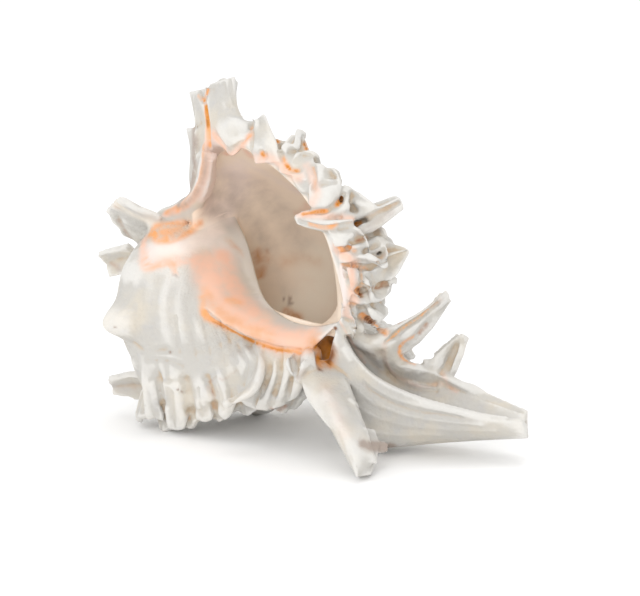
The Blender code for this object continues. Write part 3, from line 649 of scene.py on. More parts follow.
# Colour marks as (line in the photo, reach, strength); the shade marks and part of the mauve and cream marks
# are painted shade and painted light
PAINT = {
    # Greyed lilac, partly painted shade: the darker mouth wall and upper interior under the lip
    "mauve_and_shade": [
        ([(212, 139), (216, 158), (214, 180), (208, 200), (216, 212)], 4.0, 0.9),
        ([(212, 137), (214, 144), (221, 149)], 1.6, 0.9),
        ([(232, 170), (250, 180), (270, 190)], 5.0, 0.4),
    ],
    "lilac": [
        ([(232, 170), (236, 190), (226, 208)], 7.0, 0.7),
        ([(150, 250), (170, 250), (200, 240), (215, 230)], 4.5, 0.8),
        ([(341, 268), (343, 285), (344, 303)], 1.3, 1.0),
        ([(240, 160), (270, 176), (298, 192)], 3.0, 0.5),
        ([(200, 226), (222, 246), (228, 262)], 4.0, 0.5),
    ],
    # Cream, partly its own tone and partly painted light: a brightened wash in the mouth's lower right and
    # on the high left frond
    "cream_and_light": [
        ([(118, 206), (136, 216), (150, 222)], 3.5, 0.45),
        ([(158, 252), (175, 252), (200, 240), (216, 226)], 4.5, 0.35),
        ([(318, 262), (322, 285), (314, 306), (296, 314)], 9.0, 0.9),
        ([(300, 300), (316, 314)], 4.0, 0.8),
    ],
    "peach": [
        ([(208, 132), (207, 148), (205, 165), (203, 180), (195, 195), (182, 207), (165, 214)], 1.6, 0.85),
        ([(205, 262), (212, 285), (222, 305), (245, 322), (275, 337), (310, 341)], 5.0, 0.9),
        ([(222, 256), (232, 286), (246, 306), (262, 322)], 4.5, 0.8),
        ([(144, 238), (143, 250), (147, 268), (163, 263), (175, 263), (192, 261)], 1.8, 0.75),
        ([(173, 264), (174, 272)], 1.2, 0.6),
        ([(156, 259), (175, 257), (192, 259)], 2.2, 0.4),
        ([(213, 134), (222, 145), (230, 155), (241, 147), (250, 137)], 1.6, 0.7),
        ([(246, 150), (256, 160), (270, 158), (280, 165), (290, 176), (300, 176)], 2.2, 0.6),
        ([(306, 166), (313, 180), (316, 196), (303, 211)], 2.0, 0.5),
        ([(297, 214), (325, 216), (352, 219)], 1.6, 0.6),
        ([(335, 248), (345, 256), (352, 262), (352, 280), (353, 300)], 2.2, 0.7),
        ([(348, 304), (345, 314), (352, 318)], 1.6, 0.5),
        ([(340, 322), (352, 342), (364, 362)], 0.9, 0.5),
        ([(384, 344), (386, 362), (396, 376), (420, 386), (442, 384)], 1.3, 0.35),
        ([(443, 374), (448, 384), (456, 392)], 1.3, 0.4),
        ([(325, 385), (338, 415), (345, 435)], 3.5, 0.25),
    ],
    "orange": [
        ([(208, 90), (205, 99), (206, 110)], 0.7, 0.9),
        ([(198, 96), (203, 100), (206, 94)], 0.8, 0.7),
        ([(206, 112), (208, 122), (208, 130), (210, 145)], 1.1, 1.0),
        ([(193, 126), (194, 128)], 0.8, 0.9),
        ([(204, 140), (202, 162), (199, 178), (192, 192), (181, 203), (166, 212)], 1.0, 0.95),
        ([(186, 204), (176, 209)], 1.3, 0.9),
        ([(213, 134), (218, 141), (224, 148)], 0.8, 0.5),
        ([(242, 145), (249, 137), (252, 128)], 0.9, 0.55),
        ([(262, 153), (264, 156)], 1.0, 0.7),
        ([(276, 137), (278, 141)], 1.0, 0.8),
        ([(284, 158), (287, 165), (292, 169), (298, 171)], 1.0, 0.8),
        ([(306, 143), (307, 148)], 1.0, 0.8),
        ([(313, 168), (315, 178), (313, 186)], 0.8, 0.45),
        ([(303, 214), (315, 212), (326, 211)], 0.8, 0.9),
        ([(338, 205), (342, 198)], 1.0, 0.9),
        ([(310, 225), (325, 228), (336, 224)], 1.0, 0.8),
        ([(356, 224), (358, 226)], 1.2, 0.7),
        ([(337, 247), (342, 250)], 1.2, 0.9),
        ([(349, 246), (354, 250)], 1.0, 0.8),
        ([(340, 264), (350, 266), (366, 268)], 0.7, 0.7),
        ([(361, 268), (362, 284), (358, 290)], 0.5, 0.45),
        ([(356, 289), (359, 293)], 1.2, 1.0),
        ([(350, 303), (356, 303)], 0.9, 0.6),
        ([(362, 314), (376, 326), (386, 333)], 1.5, 0.9),
        ([(387, 342), (403, 328), (417, 319), (428, 309)], 0.35, 0.7),
        ([(412, 337), (403, 343), (399, 349), (402, 357), (408, 362), (415, 364)], 0.8, 0.9),
        ([(150, 234), (156, 240), (166, 242), (180, 238), (192, 229), (199, 223)], 1.7, 0.9),
        ([(152, 230), (160, 225), (176, 223), (190, 223)], 1.6, 0.8),
        ([(163, 233), (178, 231)], 3.0, 0.9),
        ([(154, 233), (158, 239), (166, 240)], 0.9, 1.5),
        ([(173, 263), (174, 272)], 0.8, 0.8),
        ([(144, 256), (149, 268), (160, 266), (170, 262)], 0.9, 0.7),
        ([(203, 298), (204, 312), (212, 320), (226, 326)], 1.8, 0.8),
        ([(212, 306), (224, 316), (244, 328), (270, 338)], 3.0, 0.7),
        ([(228, 300), (238, 303)], 2.2, 0.7),
        ([(205, 290), (212, 300)], 2.2, 0.6),
        ([(212, 321), (225, 326), (250, 339), (270, 347), (292, 351), (302, 354)], 0.8, 0.8),
        ([(262, 346), (285, 350), (305, 349)], 1.3, 0.5),
        ([(300, 330), (320, 334), (333, 329)], 0.9, 0.5),
    ],
    "amber": [
        ([(206, 106), (207, 116), (208, 126)], 0.6, 1.3),
        ([(202, 98), (204, 101)], 0.5, 1.0),
        ([(192, 126), (194, 127)], 0.6, 1.0),
        ([(262, 154), (264, 155)], 0.5, 0.9),
        ([(286, 165), (290, 169)], 0.5, 1.0),
        ([(295, 170), (297, 171)], 0.5, 0.9),
        ([(210, 300), (222, 312), (244, 326), (270, 336)], 3.0, 0.25),
        ([(276, 138), (277, 141)], 0.7, 1.1),
        ([(305, 144), (307, 148)], 0.7, 1.1),
        ([(338, 204), (342, 198)], 0.9, 1.1),
        ([(356, 223), (360, 223)], 0.8, 1.0),
        ([(303, 214), (314, 212), (324, 211)], 0.5, 0.9),
        ([(212, 322), (225, 327), (250, 340), (270, 348), (292, 352)], 0.5, 0.9),
        ([(313, 343), (322, 350), (328, 342), (331, 352), (324, 363), (318, 356)], 3.0, 1.0),
        ([(228, 240), (234, 246), (240, 252)], 1.8, 0.6),
        ([(256, 252), (259, 262), (262, 274)], 1.6, 0.7),
        ([(266, 250), (270, 262)], 1.2, 0.5),
        ([(285, 262), (300, 258), (318, 262)], 3.5, 0.3),
        ([(286, 312), (294, 316), (300, 318)], 1.8, 0.6),
        ([(208, 388), (211, 398), (213, 408)], 1.0, 0.3),
        ([(164, 410), (170, 416)], 1.0, 0.3),
        ([(186, 414), (190, 419)], 1.0, 0.3),
        ([(360, 220), (375, 212), (395, 203)], 1.0, 0.25),
        ([(440, 300), (432, 306)], 1.2, 0.35),
        ([(388, 252), (376, 262)], 1.4, 0.3),
        ([(114, 201), (116, 206)], 2.2, 0.4),
    ],
    "stain": [
        ([(205, 150), (201, 176), (194, 192), (182, 204)], 0.6, 0.5),
        ([(203, 214), (192, 222)], 1.2, 0.4),
        ([(210, 382), (217, 377), (222, 380), (230, 376), (238, 370)], 0.6, 0.5),
        ([(211, 388), (214, 398), (216, 408)], 0.6, 0.5),
        ([(198, 412), (199, 418)], 0.6, 0.3),
        ([(272, 409), (279, 410), (285, 406)], 1.1, 0.9),
        ([(357, 241), (367, 237)], 0.6, 0.8),
        ([(371, 287), (380, 288), (382, 283)], 0.6, 0.7),
        ([(399, 323), (401, 322)], 0.8, 0.9),
        ([(427, 325), (420, 333)], 0.9, 0.7),
        ([(118, 220), (125, 231), (132, 240)], 1.2, 0.4),
        ([(112, 264), (118, 268)], 1.4, 0.5),
        ([(384, 283), (388, 286)], 1.3, 0.5),
    ],
    "brown": [
        ([(331, 340), (333, 352), (327, 364), (321, 369)], 1.3, 0.8),
        ([(207, 120), (208, 126)], 0.7, 0.4),
        ([(358, 290), (360, 294)], 0.9, 0.9),
        ([(366, 318), (371, 322)], 1.4, 0.9),
        ([(340, 198), (341, 202)], 0.9, 0.9),
        ([(115.5, 326.5), (116, 327)], 0.5, 1.0),
        ([(335, 328), (335.5, 328.5)], 0.6, 1.0),
        ([(174, 274), (174.5, 275)], 0.6, 0.7),
        ([(283, 300), (284, 301)], 0.5, 0.9),
        ([(288, 303), (288.5, 304)], 0.5, 0.9),
        ([(292, 301), (292.5, 302)], 0.5, 0.8),
        ([(290, 297), (290.5, 297.5)], 0.5, 0.7),
        ([(170, 352), (170.5, 353)], 0.6, 0.7),
        ([(178, 390), (182, 392)], 0.5, 0.6),
    ],
    "shade": [
        ([(112, 386), (122, 387), (140, 386)], 3.0, 0.35),
        ([(194, 132), (194, 150), (194, 170), (190, 190), (180, 202)], 2.2, 0.85),
        ([(207, 150), (205, 165), (203, 180), (195, 195), (182, 207)], 1.6, 0.6),
        ([(210, 298), (226, 316), (250, 330), (280, 342)], 3.5, 0.25),
        ([(358, 234), (372, 224), (392, 212)], 1.6, 0.4),
        ([(372, 360), (388, 375), (418, 388), (455, 396), (500, 408)], 2.2, 0.2),
        ([(380, 352), (372, 356), (368, 352)], 1.6, 0.5),
        ([(364, 446), (390, 446)], 2.0, 1.2),
        ([(366, 352), (376, 362), (382, 368)], 3.0, 0.3),
        ([(396, 378), (420, 390), (450, 398)], 1.6, 0.25),
        ([(212, 208), (222, 214)], 3.5, 0.6),
        ([(216, 192), (232, 200), (246, 212)], 5.0, 0.5),
        ([(226, 180), (244, 205), (256, 226), (266, 248)], 6.0, 0.42),
        ([(250, 190), (280, 212), (300, 240)], 8.0, 0.38),
        ([(258, 250), (270, 270), (284, 290)], 5.0, 0.3),
        ([(304, 372), (298, 378)], 1.6, 0.6),
        ([(372, 230), (380, 230)], 1.6, 0.5),
    ],
}

# Colours, as red, green and blue out of 255, with the marks' tints in the order they are laid
CHALK = (194, 191, 185)
CREAMY = (206, 198, 184)
GREYED = (190, 188, 186)
# Grime in the outside's crevices, partly painted shade that darkens the hollows
CREVICE_GRIME_AND_SHADE = (192, 172, 146)
WORN_WHITE = (236, 234, 230)
HOLLOW = (246, 230, 212)
TINTS = {
    # Greyed lilac, partly painted shade
    "mauve_and_shade": (214, 194, 184),
    "lilac": (234, 220, 214),
    # Cream, partly painted light
    "cream_and_light": (250, 240, 224),
    "peach": (235, 190, 166),
    "orange": (236, 166, 106),
    "amber": (208, 132, 40),
    "stain": (166, 118, 88),
    "brown": (112, 62, 16),
    "shade": (170, 156, 146),
}
SETTLED = ("orange", "amber", "stain")
WHITE = (255, 255, 255)

# The sizes of the surface's clouds and grain, in metres
MOTTLE_SIZE = 0.014
CLOUD_SIZE = 0.004
GRAIN_SIZE = 0.0012
NOISE_DETAIL = 4.0

# Between which readings each layer sets in, some with the share at either end
CREAMY_RANGE = (0.42, 0.72)
GREYED_RANGE = (0.5, 0.85)
HOLLOW_RANGE = (0.35, 0.65)
GLAZE_RANGE = (0.25, 0.7)
RIBBED_RANGE = (0.75, 1.0)
MARK_RANGE = (0.05, 0.95)
# The crevice grime with its painted shade: the cavity readings, then the cloud readings
CREVICE_GRIME_AND_SHADE_RANGE = (0.08, 0.6)
CREVICE_GRIME_AND_SHADE_CLOUDS = (0.35, 0.6, 0.3, 0.9)
WORN_RANGE = (-0.1, -0.5, 0.0, 0.5)
SETTLED_RANGE = (-0.15, 0.25, 0.65, 1.0)
CHALK_ROUGHNESS = (0.3, 0.7, 0.55, 0.8)
GLAZE_ROUGHNESS = 0.28
MARK_RAGGED = 1.1

# Fine threads along and across the whorl, in millimetres, and the height of the grain in metres
ACROSS_STEP = 2.3
ALONG_STEP = 1.7
THREAD_WANDER = 3.0
THREAD_SHARE = 0.06
GRAIN_HEIGHT = 0.0005
GRAIN_STRENGTH = 0.7

# Lights as (name, place, size, power), all aimed at the middle of the shell
LIGHTS = [
    ("key", (-0.35, -1.45, 0.6), 0.5, 4.2),
    ("front", (-0.1, -1.55, 0.5), 0.6, 2.0),
    ("top", (0.1, 0.2, 1.25), 0.9, 3.5),
    ("side", (-1.2, -0.3, 0.5), 0.6, 1.5),
]
LIT = (0.0, 0.0, 0.05)
WORLD_LIGHT = 0.93
FLOOR_REACH = 8.0
FLOOR_ROUGHNESS = 0.9

# The camera's sensor in millimetres, and how many pixels of the photo it spans
SENSOR_WIDTH = 36.0
PHOTO_WIDTH = 640.0


def growth(turn):
    return GROWTH_PER_TURN ** (turn / 360.0)


def view_axes():
    """The shell's x, y and z directions as columns in the view's x, y and depth."""
    angle = math.radians(VIEW_AXIS_ANGLE)
    away = math.radians(VIEW_AXIS_AWAY)
    turn = math.radians(-VIEW_FACING_TURN)
    flat = math.cos(away)
    axis = np.array([math.cos(angle) * flat, math.sin(angle) * flat, -math.sin(away)])
    near = np.array([0.0, 0.0, 1.0]) - axis[2] * axis
    near /= np.linalg.norm(near)
    side = np.cross(axis, near)
    x_way = near * math.cos(turn) + side * math.sin(turn)
    return np.stack([x_way, np.cross(axis, x_way), axis], axis=1)


VIEW = view_axes()
RIGHT, UP, NEAR = VIEW
EYE = np.array([*VIEW_CENTRE, VIEW_DISTANCE])


def sight_line(px, py):
    """The direction of the line of sight through a place in the photo, in the view's axes."""
    offset = np.array([px - PHOTO_CENTRE[0], PHOTO_CENTRE[1] - py, 0.0]) / VIEW_SCALE
    return offset - np.array([0.0, 0.0, 1.0])


def at_depth(px, py, depth):
    """The point on a line of sight at a depth towards the viewer."""
    return VIEW.T @ (EYE + sight_line(px, py) * (EYE[2] - depth))


def growing_way(turn):
    """The direction in which the lip was growing at a turn."""
    angle = math.radians(-turn - 90.0)
    return np.array([math.cos(angle), math.sin(angle), 0.0])


def on_lip(px, py, forward):
    """Where a line of sight meets the lip's growth plane moved forward."""
    eye = VIEW.T @ EYE
    line = VIEW.T @ sight_line(px, py)
    normal = growing_way(0.0)
    return eye + line * ((forward - eye @ normal) / (line @ normal))


def placed(points, place):
    """Each (x, y, depth) given as a point by the function place."""
    return [place(*point) for point in points]


def set_back(path, distance):
    """A path moved away from the viewer of the photo."""
    return [point - NEAR * distance for point in path]


def step_lengths(line):
    """The distances between neighbouring points of a line."""
    return np.linalg.norm(np.diff(line, axis=0), axis=1)


def distances(line):
    """How far along a line each of its points lies."""
    return np.concatenate([[0.0], np.cumsum(step_lengths(line))])


def read_off(line, known, wanted):
    """The points of a line at wanted measures, where its own points have the known ones."""
    return np.stack([np.interp(wanted, known, column) for column in line.T], axis=1)


def smooth_curve(points, count):
    """Evenly spaced points on a smooth curve through the given ones."""
    points = np.asarray(points, float)
    before = 2 * points[:1] - points[1:2]
    after = 2 * points[-1:] - points[-2:-1]
    knots = np.concatenate([before, points, after])
    t = np.linspace(0.0, 1.0, CURVE_STEPS, endpoint=False)[:, None]
    spans = []
    for a, b, c, d in zip(knots, knots[1:], knots[2:], knots[3:]):
        cubic = 3 * b - 3 * c + d - a
        square = 2 * a - 5 * b + 4 * c - d
        spans.append(b + 0.5 * t * ((c - a) + t * (square + t * cubic)))
    fine = np.concatenate(spans + [points[-1:]])
    along = distances(fine)
    return read_off(fine, along, np.linspace(0.0, along[-1], count))


def spread(values, count):
    """Values given at even spaces, read off at more of them."""
    return np.interp(np.linspace(0, 1, count), np.linspace(0, 1, len(values)), values)


def unit(vectors):
    return vectors / np.linalg.norm(vectors, axis=-1, keepdims=True)


def bump(x, centre, width):
    return np.exp(-(((x - centre) / width) ** 2))


def risen(x, start, width):
    """Rises evenly from 0 at a start to 1 a width past it."""
    return np.clip((x - start) / width, 0, 1)


def between(first, second, share):
    """Rows of points that run from one edge to the other."""
    return first[:, None] * (1 - share)[:, None] + second[:, None] * share[:, None]


def outward(outline):
    """Unit directions away from the inside of an outline."""
    along = np.gradient(outline, axis=0)
    normal = unit(np.stack([-along[:, 1], along[:, 0]], axis=1))
    facing = np.sign(((outline - np.array(INSIDE)) * normal).sum(axis=1))
    return normal * facing[:, None]


def varix_flare(turn, station, varices):
    """How far a section has swollen from the plain whorl to the flared lip."""
    flare = np.zeros_like(station)
    for varix, rise, fall in varices:
        past = turn - varix
        step = 1 + past / rise if past <= 0 else 1 - past / fall
        step = min(1.0, max(0.0, step))
        swell = np.full_like(station, step * step * (3 - 2 * step))
        if varix < COVERED_BEFORE:
            swell *= np.clip((COVERED_BELOW - station) / COVERED_FADE, 0, 1)
        flare = np.maximum(flare, swell)
    return flare


def flared(flare):
    """The half outline between the whorl's and the lip's, by how far each place on it flares."""
    count = len(flare)
    flare = flare[:, None]
    return smooth_curve(WHORL, count) * (1 - flare) + smooth_curve(LIP, count) * flare


def section(turn, stations):
    """The outer outline of the tube at a turn."""
    station = np.linspace(0.0, 1.0, stations)
    outline = flared(varix_flare(turn, station, VARICES))
    return outline * growth(turn) + outward(outline) * skin_relief(turn, station)[:, None]


def inner_section(turn, stations):
    """The inner outline of the tube, which flares only at the mouth."""
    outline = flared(varix_flare(turn, np.zeros(stations), [MOUTH_VARIX]))
    scale = growth(turn)
    return outline * scale - outward(outline) * max(WALL * scale, LEAST_WALL)


def wound(outlines, turns):
    """Outlines, one for each turn, set round the axis."""
    rows = np.array(outlines)
    angle = np.radians(-np.asarray(turns))[:, None]
    across = rows[..., 0] * np.cos(angle)
    along = rows[..., 0] * np.sin(angle)
    return np.stack([across, along, rows[..., 1]], axis=-1)


def thickened(name, grid, thickness):
    """A sheet of even thickness on a grid of points."""
    normal = unit(np.cross(np.gradient(grid, axis=0), np.gradient(grid, axis=1)))
    return slab(name, grid + 0.5 * thickness * normal, grid - 0.5 * thickness * normal)


def early_whorls(steps=700, stations=150):
    """The spire and the older part of the last whorl, filled to the axis."""
    turns = np.linspace(EARLIEST_TURN, FILLED_UP_TO, steps)
    skin = wound([section(turn, stations) for turn in turns], turns)
    return slab("early_whorls", skin, skin * np.array(TO_AXIS))


def last_whorl(steps=360, stations=250):
    """The open part of the last whorl, a wall round the mouth."""
    turns = np.linspace(FILLED_UP_TO - WHORL_OVERLAP, 0.0, steps)
    outer = wound([section(turn, stations) for turn in turns], turns)
    inner = wound([inner_section(turn, stations) for turn in turns], turns)
    return slab("last_whorl", outer, inner)


def columella(steps=240, stations=50):
    """The twisted pillar that the whorls wind round."""
    turns = np.linspace(*PILLAR_TURNS, steps)
    outline = smooth_curve(COLUMELLA, stations)
    skin = wound([outline * growth(turn) for turn in turns], turns)
    return slab("columella", skin, skin * np.array(TO_AXIS))


def callus(steps=120, columns=40):
    """The smooth lip spread over the columella."""
    edge = smooth_curve(placed(CALLUS_EDGE, at_depth), steps)
    inner = smooth_curve(placed(CALLUS_INNER, at_depth), steps)
    v = np.linspace(0, 1, columns)
    bulge = spread(CALLUS_BULGE, steps)[:, None] * np.sin(math.pi * v)
    front = between(edge, inner, v) + NEAR * bulge[..., None]
    return slab("callus", front, front - NEAR * CALLUS_THICKNESS)


def corner():
    """The lip's last bend, down to the whorl before it."""
    path = placed(CORNER, at_depth)
    return gutter("corner", path, CORNER_WIDTHS, CORNER_HOLLOW, CORNER_THICKNESS, NEAR, rough=0.0)


def canal(steps=200, columns=100):
    """The siphonal canal: one sheet folded under itself, open along a slit."""
    slits = smooth_curve(placed(SLIT_EDGE, on_lip), steps)
    folds = smooth_curve(placed(CANAL_FOLD, on_lip), steps)
    fars = smooth_curve(placed(FAR_EDGE, on_lip), steps)
    raised, lowered = CANAL_UNDERSIDE
    rows = []
    for slit, fold, far, depth in zip(slits, folds, fars, spread(CANAL_DEPTHS, steps)):
        middle = 0.5 * (slit + fold) + CANAL_BULGE * depth * NEAR
        under = fold + raised * depth * UP - lowered * depth * NEAR
        back = 0.5 * (fold + far) - depth * NEAR
        rows.append(smooth_curve([slit, middle, fold, under, back, far], columns))
    return thickened("canal", np.array(rows), CANAL_WALL)


def old_canal():
    """The canal of the varix before, left standing beside the new one."""
    groove_way = sum(part * way for part, way in zip(OLD_CANAL_FACING, VIEW))
    path = set_back(placed(OLD_CANAL, at_depth), SET_BACK)
    yield gutter("old_canal", path, OLD_CANAL_WIDTHS, OLD_CANAL_HOLLOW, OLD_CANAL_WALL, groove_way, 0.0)
    flap = placed(OLD_CANAL_FLAP, at_depth)
    yield gutter("old_canal_flap", flap, FLAP_WIDTHS, FLAP_HOLLOW, FROND_THICKNESS, NEAR, FLAP_ROUGH)
    fold = placed(SMALL_FOLD, at_depth)
    facing = NEAR - RIGHT
    yield gutter("small_fold", fold, SMALL_FOLD_WIDTHS, SMALL_FOLD_HOLLOW, FROND_THICKNESS, facing, 0.0)


def lip_web(steps=160, columns=24):
    """The flange that carries the lip's fronds."""
    root = smooth_curve(placed(WEB_ROOT, on_lip), steps)
    edge = smooth_curve(placed(WEB_EDGE, on_lip), steps)
    return thickened("lip_web", between(root, edge, np.linspace(0.0, 1.0, columns)), WALL)


def fronds(group, place, turn, distance):
    """The fronds of one varix, set back behind the strips that show their folds."""
    for name, (points, widths, hollow) in group.items():
        path = set_back(placed(points, place), distance)
        yield gutter(name, path, widths, hollow, FROND_THICKNESS, growing_way(turn), FROND_ROUGH)


def grown_frond(name, turn, station, length, width):
    """A frond that stands out from a varix and leans back from the way it grew."""
    scale = growth(turn)
    outline = smooth_curve(LIP, OUTLINE_STEPS + 1)
    index = round(station * OUTLINE_STEPS)
    angle = math.radians(-turn)
    radial = np.array([math.cos(angle), math.sin(angle), 0.0])
    along_axis = np.array([0.0, 0.0, 1.0])
    across, down = outward(outline)[index]
    out = radial * across + along_axis * down
    base = (radial * outline[index, 0] + along_axis * outline[index, 1]) * scale
    back = -growing_way(turn)
    reach = length * scale
    path = [
        base - out * HIDDEN_ROOT * scale,
        base + out * reach * HIDDEN_MIDDLE,
        base + (out + back * LEAN_BACK) * reach,
    ]
    widths = [width * scale * part for part in HIDDEN_TAPER]
    return gutter(name, path, widths, HIDDEN_HOLLOW, FROND_THICKNESS, -back)


def hidden_fronds():
    """The fronds of the varix on the back and of those on the spire."""
    for station, length, width in DORSAL_FRONDS:
        yield grown_frond("dorsal", DORSAL_VARIX[0], station, length, width)
    for number in range(1, SPIRE_FRONDS + 1):
        yield grown_frond("spire", SPIRE_VARIX[0] - VARIX_STEP * number, *SPIRE_FROND)


def pieces():
    """Every closed solid that the shell is fused from."""
    yield early_whorls()
    yield last_whorl()
    yield columella()
    yield callus()
    yield corner()
    yield canal()
    yield from old_canal()
    yield lip_web()
    yield from strips()
    yield skirt()
    yield from fronds(LIP_FRONDS, on_lip, MOUTH_VARIX[0], SET_BACK)
    yield from fronds(LOWER_FRONDS, at_depth, LOWER_VARIX[0], LOWER_SET_BACK)
    yield from fronds(BACK_FRONDS, at_depth, SPIRE_VARIX[0], 0.0)
    yield from hidden_fronds()


def joined(meshes):
    """All the pieces as one mesh, in metres, not yet fused."""
    whole = bmesh.new()
    for data in meshes:
        whole.from_mesh(data)
        bpy.data.meshes.remove(data)
    bmesh.ops.scale(whole, vec=(MM, MM, MM), verts=whole.verts)
    data = bpy.data.meshes.new(NAME)
    whole.to_mesh(data)
    whole.free()
    return data


def shown(name, data):
    """A new object that stands in the scene."""
    thing = bpy.data.objects.new(name, data)
    bpy.context.scene.collection.objects.link(thing)
    return thing


def modify(shell, kind, **settings):
    """Gives the shell one modifier and keeps what comes of it as its mesh."""
    modifier = shell.modifiers.new(kind, kind)
    for key, value in settings.items():
        setattr(modifier, key, value)
    bpy.context.view_layer.update()
    graph = bpy.context.evaluated_depsgraph_get()
    shell.data = bpy.data.meshes.new_from_object(shell.evaluated_get(graph))
    shell.modifiers.clear()


def keep_largest(data):
    """Drops every loose body but the one with the most points."""
    mesh = bmesh.new()
    mesh.from_mesh(data)
    unseen = set(mesh.verts)
    bodies = []
    while unseen:
        front = [unseen.pop()]
        body = set(front)
        while front:
            reached = {vert for edge in front.pop().link_edges for vert in edge.verts}
            new = reached & unseen
            unseen -= new
            body |= new
            front.extend(new)
        bodies.append(body)
    bodies.sort(key=len)
    for body in bodies[:-1]:
        bmesh.ops.delete(mesh, geom=list(body), context="VERTS")
    mesh.to_mesh(data)
    mesh.free()


def resting_axes():
    """Rows that turn the shell's own axes to the world's, with the photo looking along +Y."""
    roll = math.radians(VIEW_ROLL)
    down = math.radians(LOOKING_DOWN)
    flat = math.cos(down)
    up = np.array([math.sin(roll) * flat, math.cos(roll) * flat, math.sin(down)])
    right = unit(np.array([1.0, 0.0, 0.0]) - up[0] * up)
    return np.stack([right, np.cross(up, right), up]) @ VIEW


def slab(name, front, back):
    """A closed solid between two grids of points of the same size."""
    rows, columns = front.shape[:2]
    count = rows * columns
    index = np.arange(count).reshape(rows, columns)
    corners = [index[:-1, :-1], index[1:, :-1], index[1:, 1:], index[:-1, 1:]]
    top = np.stack(corners, axis=-1).reshape(-1, 4)
    rim = np.concatenate([index[0], index[1:, -1], index[-1, -2::-1], index[-2:0:-1, 0]])
    after = np.roll(rim, -1)
    wall = np.stack([rim, after, after + count, rim + count], axis=1)
    faces = np.concatenate([top, top[:, ::-1] + count, wall])
    points = np.concatenate([front.reshape(-1, 3), back.reshape(-1, 3)])
    data = bpy.data.meshes.new(name)
    data.from_pydata(points.tolist(), [], faces.tolist())
    mesh = bmesh.new()
    mesh.from_mesh(data)
    bmesh.ops.recalc_face_normals(mesh, faces=mesh.faces)
    mesh.to_mesh(data)
    mesh.free()
    remember(name, front, back)
    return data


def remember(name, front, back):
    """Keeps a sheet's points, so that the finished skin can tell which sheet it follows."""
    rows, columns = front.shape[:2]
    along = distances(front[:, columns // 2])
    across = OUTLINE_LENGTH if name in WOUND else step_lengths(front[rows // 2]).sum()
    grid = np.stack(np.meshgrid(along, np.linspace(0.0, across, columns), indexing="ij"), axis=-1)
    DRAWN.append((name, front.reshape(-1, 3), grid.reshape(-1, 2)))
    DRAWN.append((name + BACK, back.reshape(-1, 3), grid.reshape(-1, 2)))


def waves(draw, places, periods):
    """An uneven line: a few waves of random height and phase over the given places."""
    line = np.zeros_like(places)
    for period in periods:
        height = draw.uniform(*WAVE_HEIGHTS)
        line += height * np.sin(places * 2 * math.pi / period + draw.uniform(0, LAST_PHASE))
    return line / len(periods)


def skin_relief(turn, station):
    """Cords, riblets and growth lines along the whorl and the rounded knobs on its shoulder."""
    scale = growth(turn)
    strength = risen(station, *CORDS_RISE) * (1 + BASE_CORDS_GAIN * risen(station, *BASE_CORDS_RISE))
    cords = CORD_HEIGHT * strength * (0.5 - 0.5 * np.cos(2 * math.pi * CORDS * station))
    shift = RIBLET_SWAY * math.sin(turn * RIBLET_SWAY_RATE)
    cords += RIBLET_HEIGHT * strength * np.cos(2 * math.pi * RIBLETS * (station + shift))
    pleat = sum(math.sin(turn * rate + PLEAT_PHASE * rate) for rate in PLEAT_RATES) / len(PLEAT_RATES)
    slant = np.sin(PLEAT_SLANT * station + turn * PLEAT_SLANT_RATE)
    cords += PLEAT_HEIGHT * pleat * slant * np.clip(station * PLEAT_RISE, 0, 1)
    height = sum(high * bump(turn, at, KNOB_TURN_WIDTH) for at, high in KNOBS)
    cords *= 1 - np.interp(turn, *WORN)
    return scale**0.5 * cords + scale * height * bump(station, KNOB_STATION, KNOB_WIDTH)


def gutter(name, points, widths, hollow, thickness, facing, rough=1.0, steps=44, columns=31):
    """A frond: a tapering sheet along a path, folded and fluted, with a ragged tip."""
    draw = np.random.default_rng(FROND_SEED + len(DRAWN))
    path = smooth_curve(points, steps)
    length = step_lengths(path).sum()
    u = np.linspace(0.0, 1.0, steps)
    v = np.linspace(-1.0, 1.0, columns)
    scallop = 1 + rough * EDGE_SCALLOP * waves(draw, u * length, EDGE_WAVES)
    width = (spread(widths, steps) * scallop)[:, None]
    along = unit(np.gradient(path, axis=0))
    side = unit(np.cross(along, np.asarray(facing, float)))
    out = np.cross(side, along)
    drift = v * width * math.pi / FLUTE_WIDTH + FLUTE_DRIFT * (u**2)[:, None]
    flutes = FLUTE_DEPTH * np.cos(drift + draw.uniform(0, LAST_PHASE))
    scales = (u[:, None] * length / SCALE_STEP + SCALE_BEND * v**2) % 1.0
    growing = rough * np.minimum(1.0, ROUGH_RISE * u)[:, None]
    lift = hollow * width * np.abs(v) ** HOLLOW_POWER
    lift = lift + growing * (flutes * np.minimum(width, FULL_WIDTH) / FULL_WIDTH + SCALE_HEIGHT * scales)
    ragged = rough * FROND_RAGGED * min(1.0, length / FULL_LENGTH)
    tip = ragged * (u[:, None] ** TIP_POWER) * waves(draw, v * widths[-1], TIP_WAVES)
    front = path[:, None] + side[:, None] * (0.5 * width * v)[..., None] + out[:, None] * lift[..., None]
    front = front + along[:, None] * tip[..., None]
    thin = (thickness * (1 - rough * FROND_THINNING * u**2))[:, None, None]
    back = front - out[:, None] * thin + BACK_WIDER * thin * side[:, None] * v[None, :, None]
    return slab(name, front, back)


def strip(name, first, second, thickness, bulge, flutes=(0, 0), steps=70, columns=30):
    """A sheet between two edges, bulging and fluted towards the viewer of the photo."""
    v = np.linspace(0, 1, columns)
    count, depth = flutes
    rise = spread(bulge, steps)[:, None] * np.sin(math.pi * v) + depth * np.cos(2 * math.pi * count * v)
    front = between(smooth_curve(first, steps), smooth_curve(second, steps), v) + NEAR * rise[..., None]
    return slab(name, front, front - NEAR * thickness)


def strips():
    """The folds of the lip and of the older parts, as the photo shows them."""
    kinds = ((LIP_STRIPS, on_lip, STRIP_THICKNESS), (OLD_STRIPS, at_depth, OLD_STRIP_THICKNESS))
    for table, place, thickness in kinds:
        for name, (first, second, *form) in table.items():
            yield strip(name, placed(first, place), placed(second, place), thickness, *form)


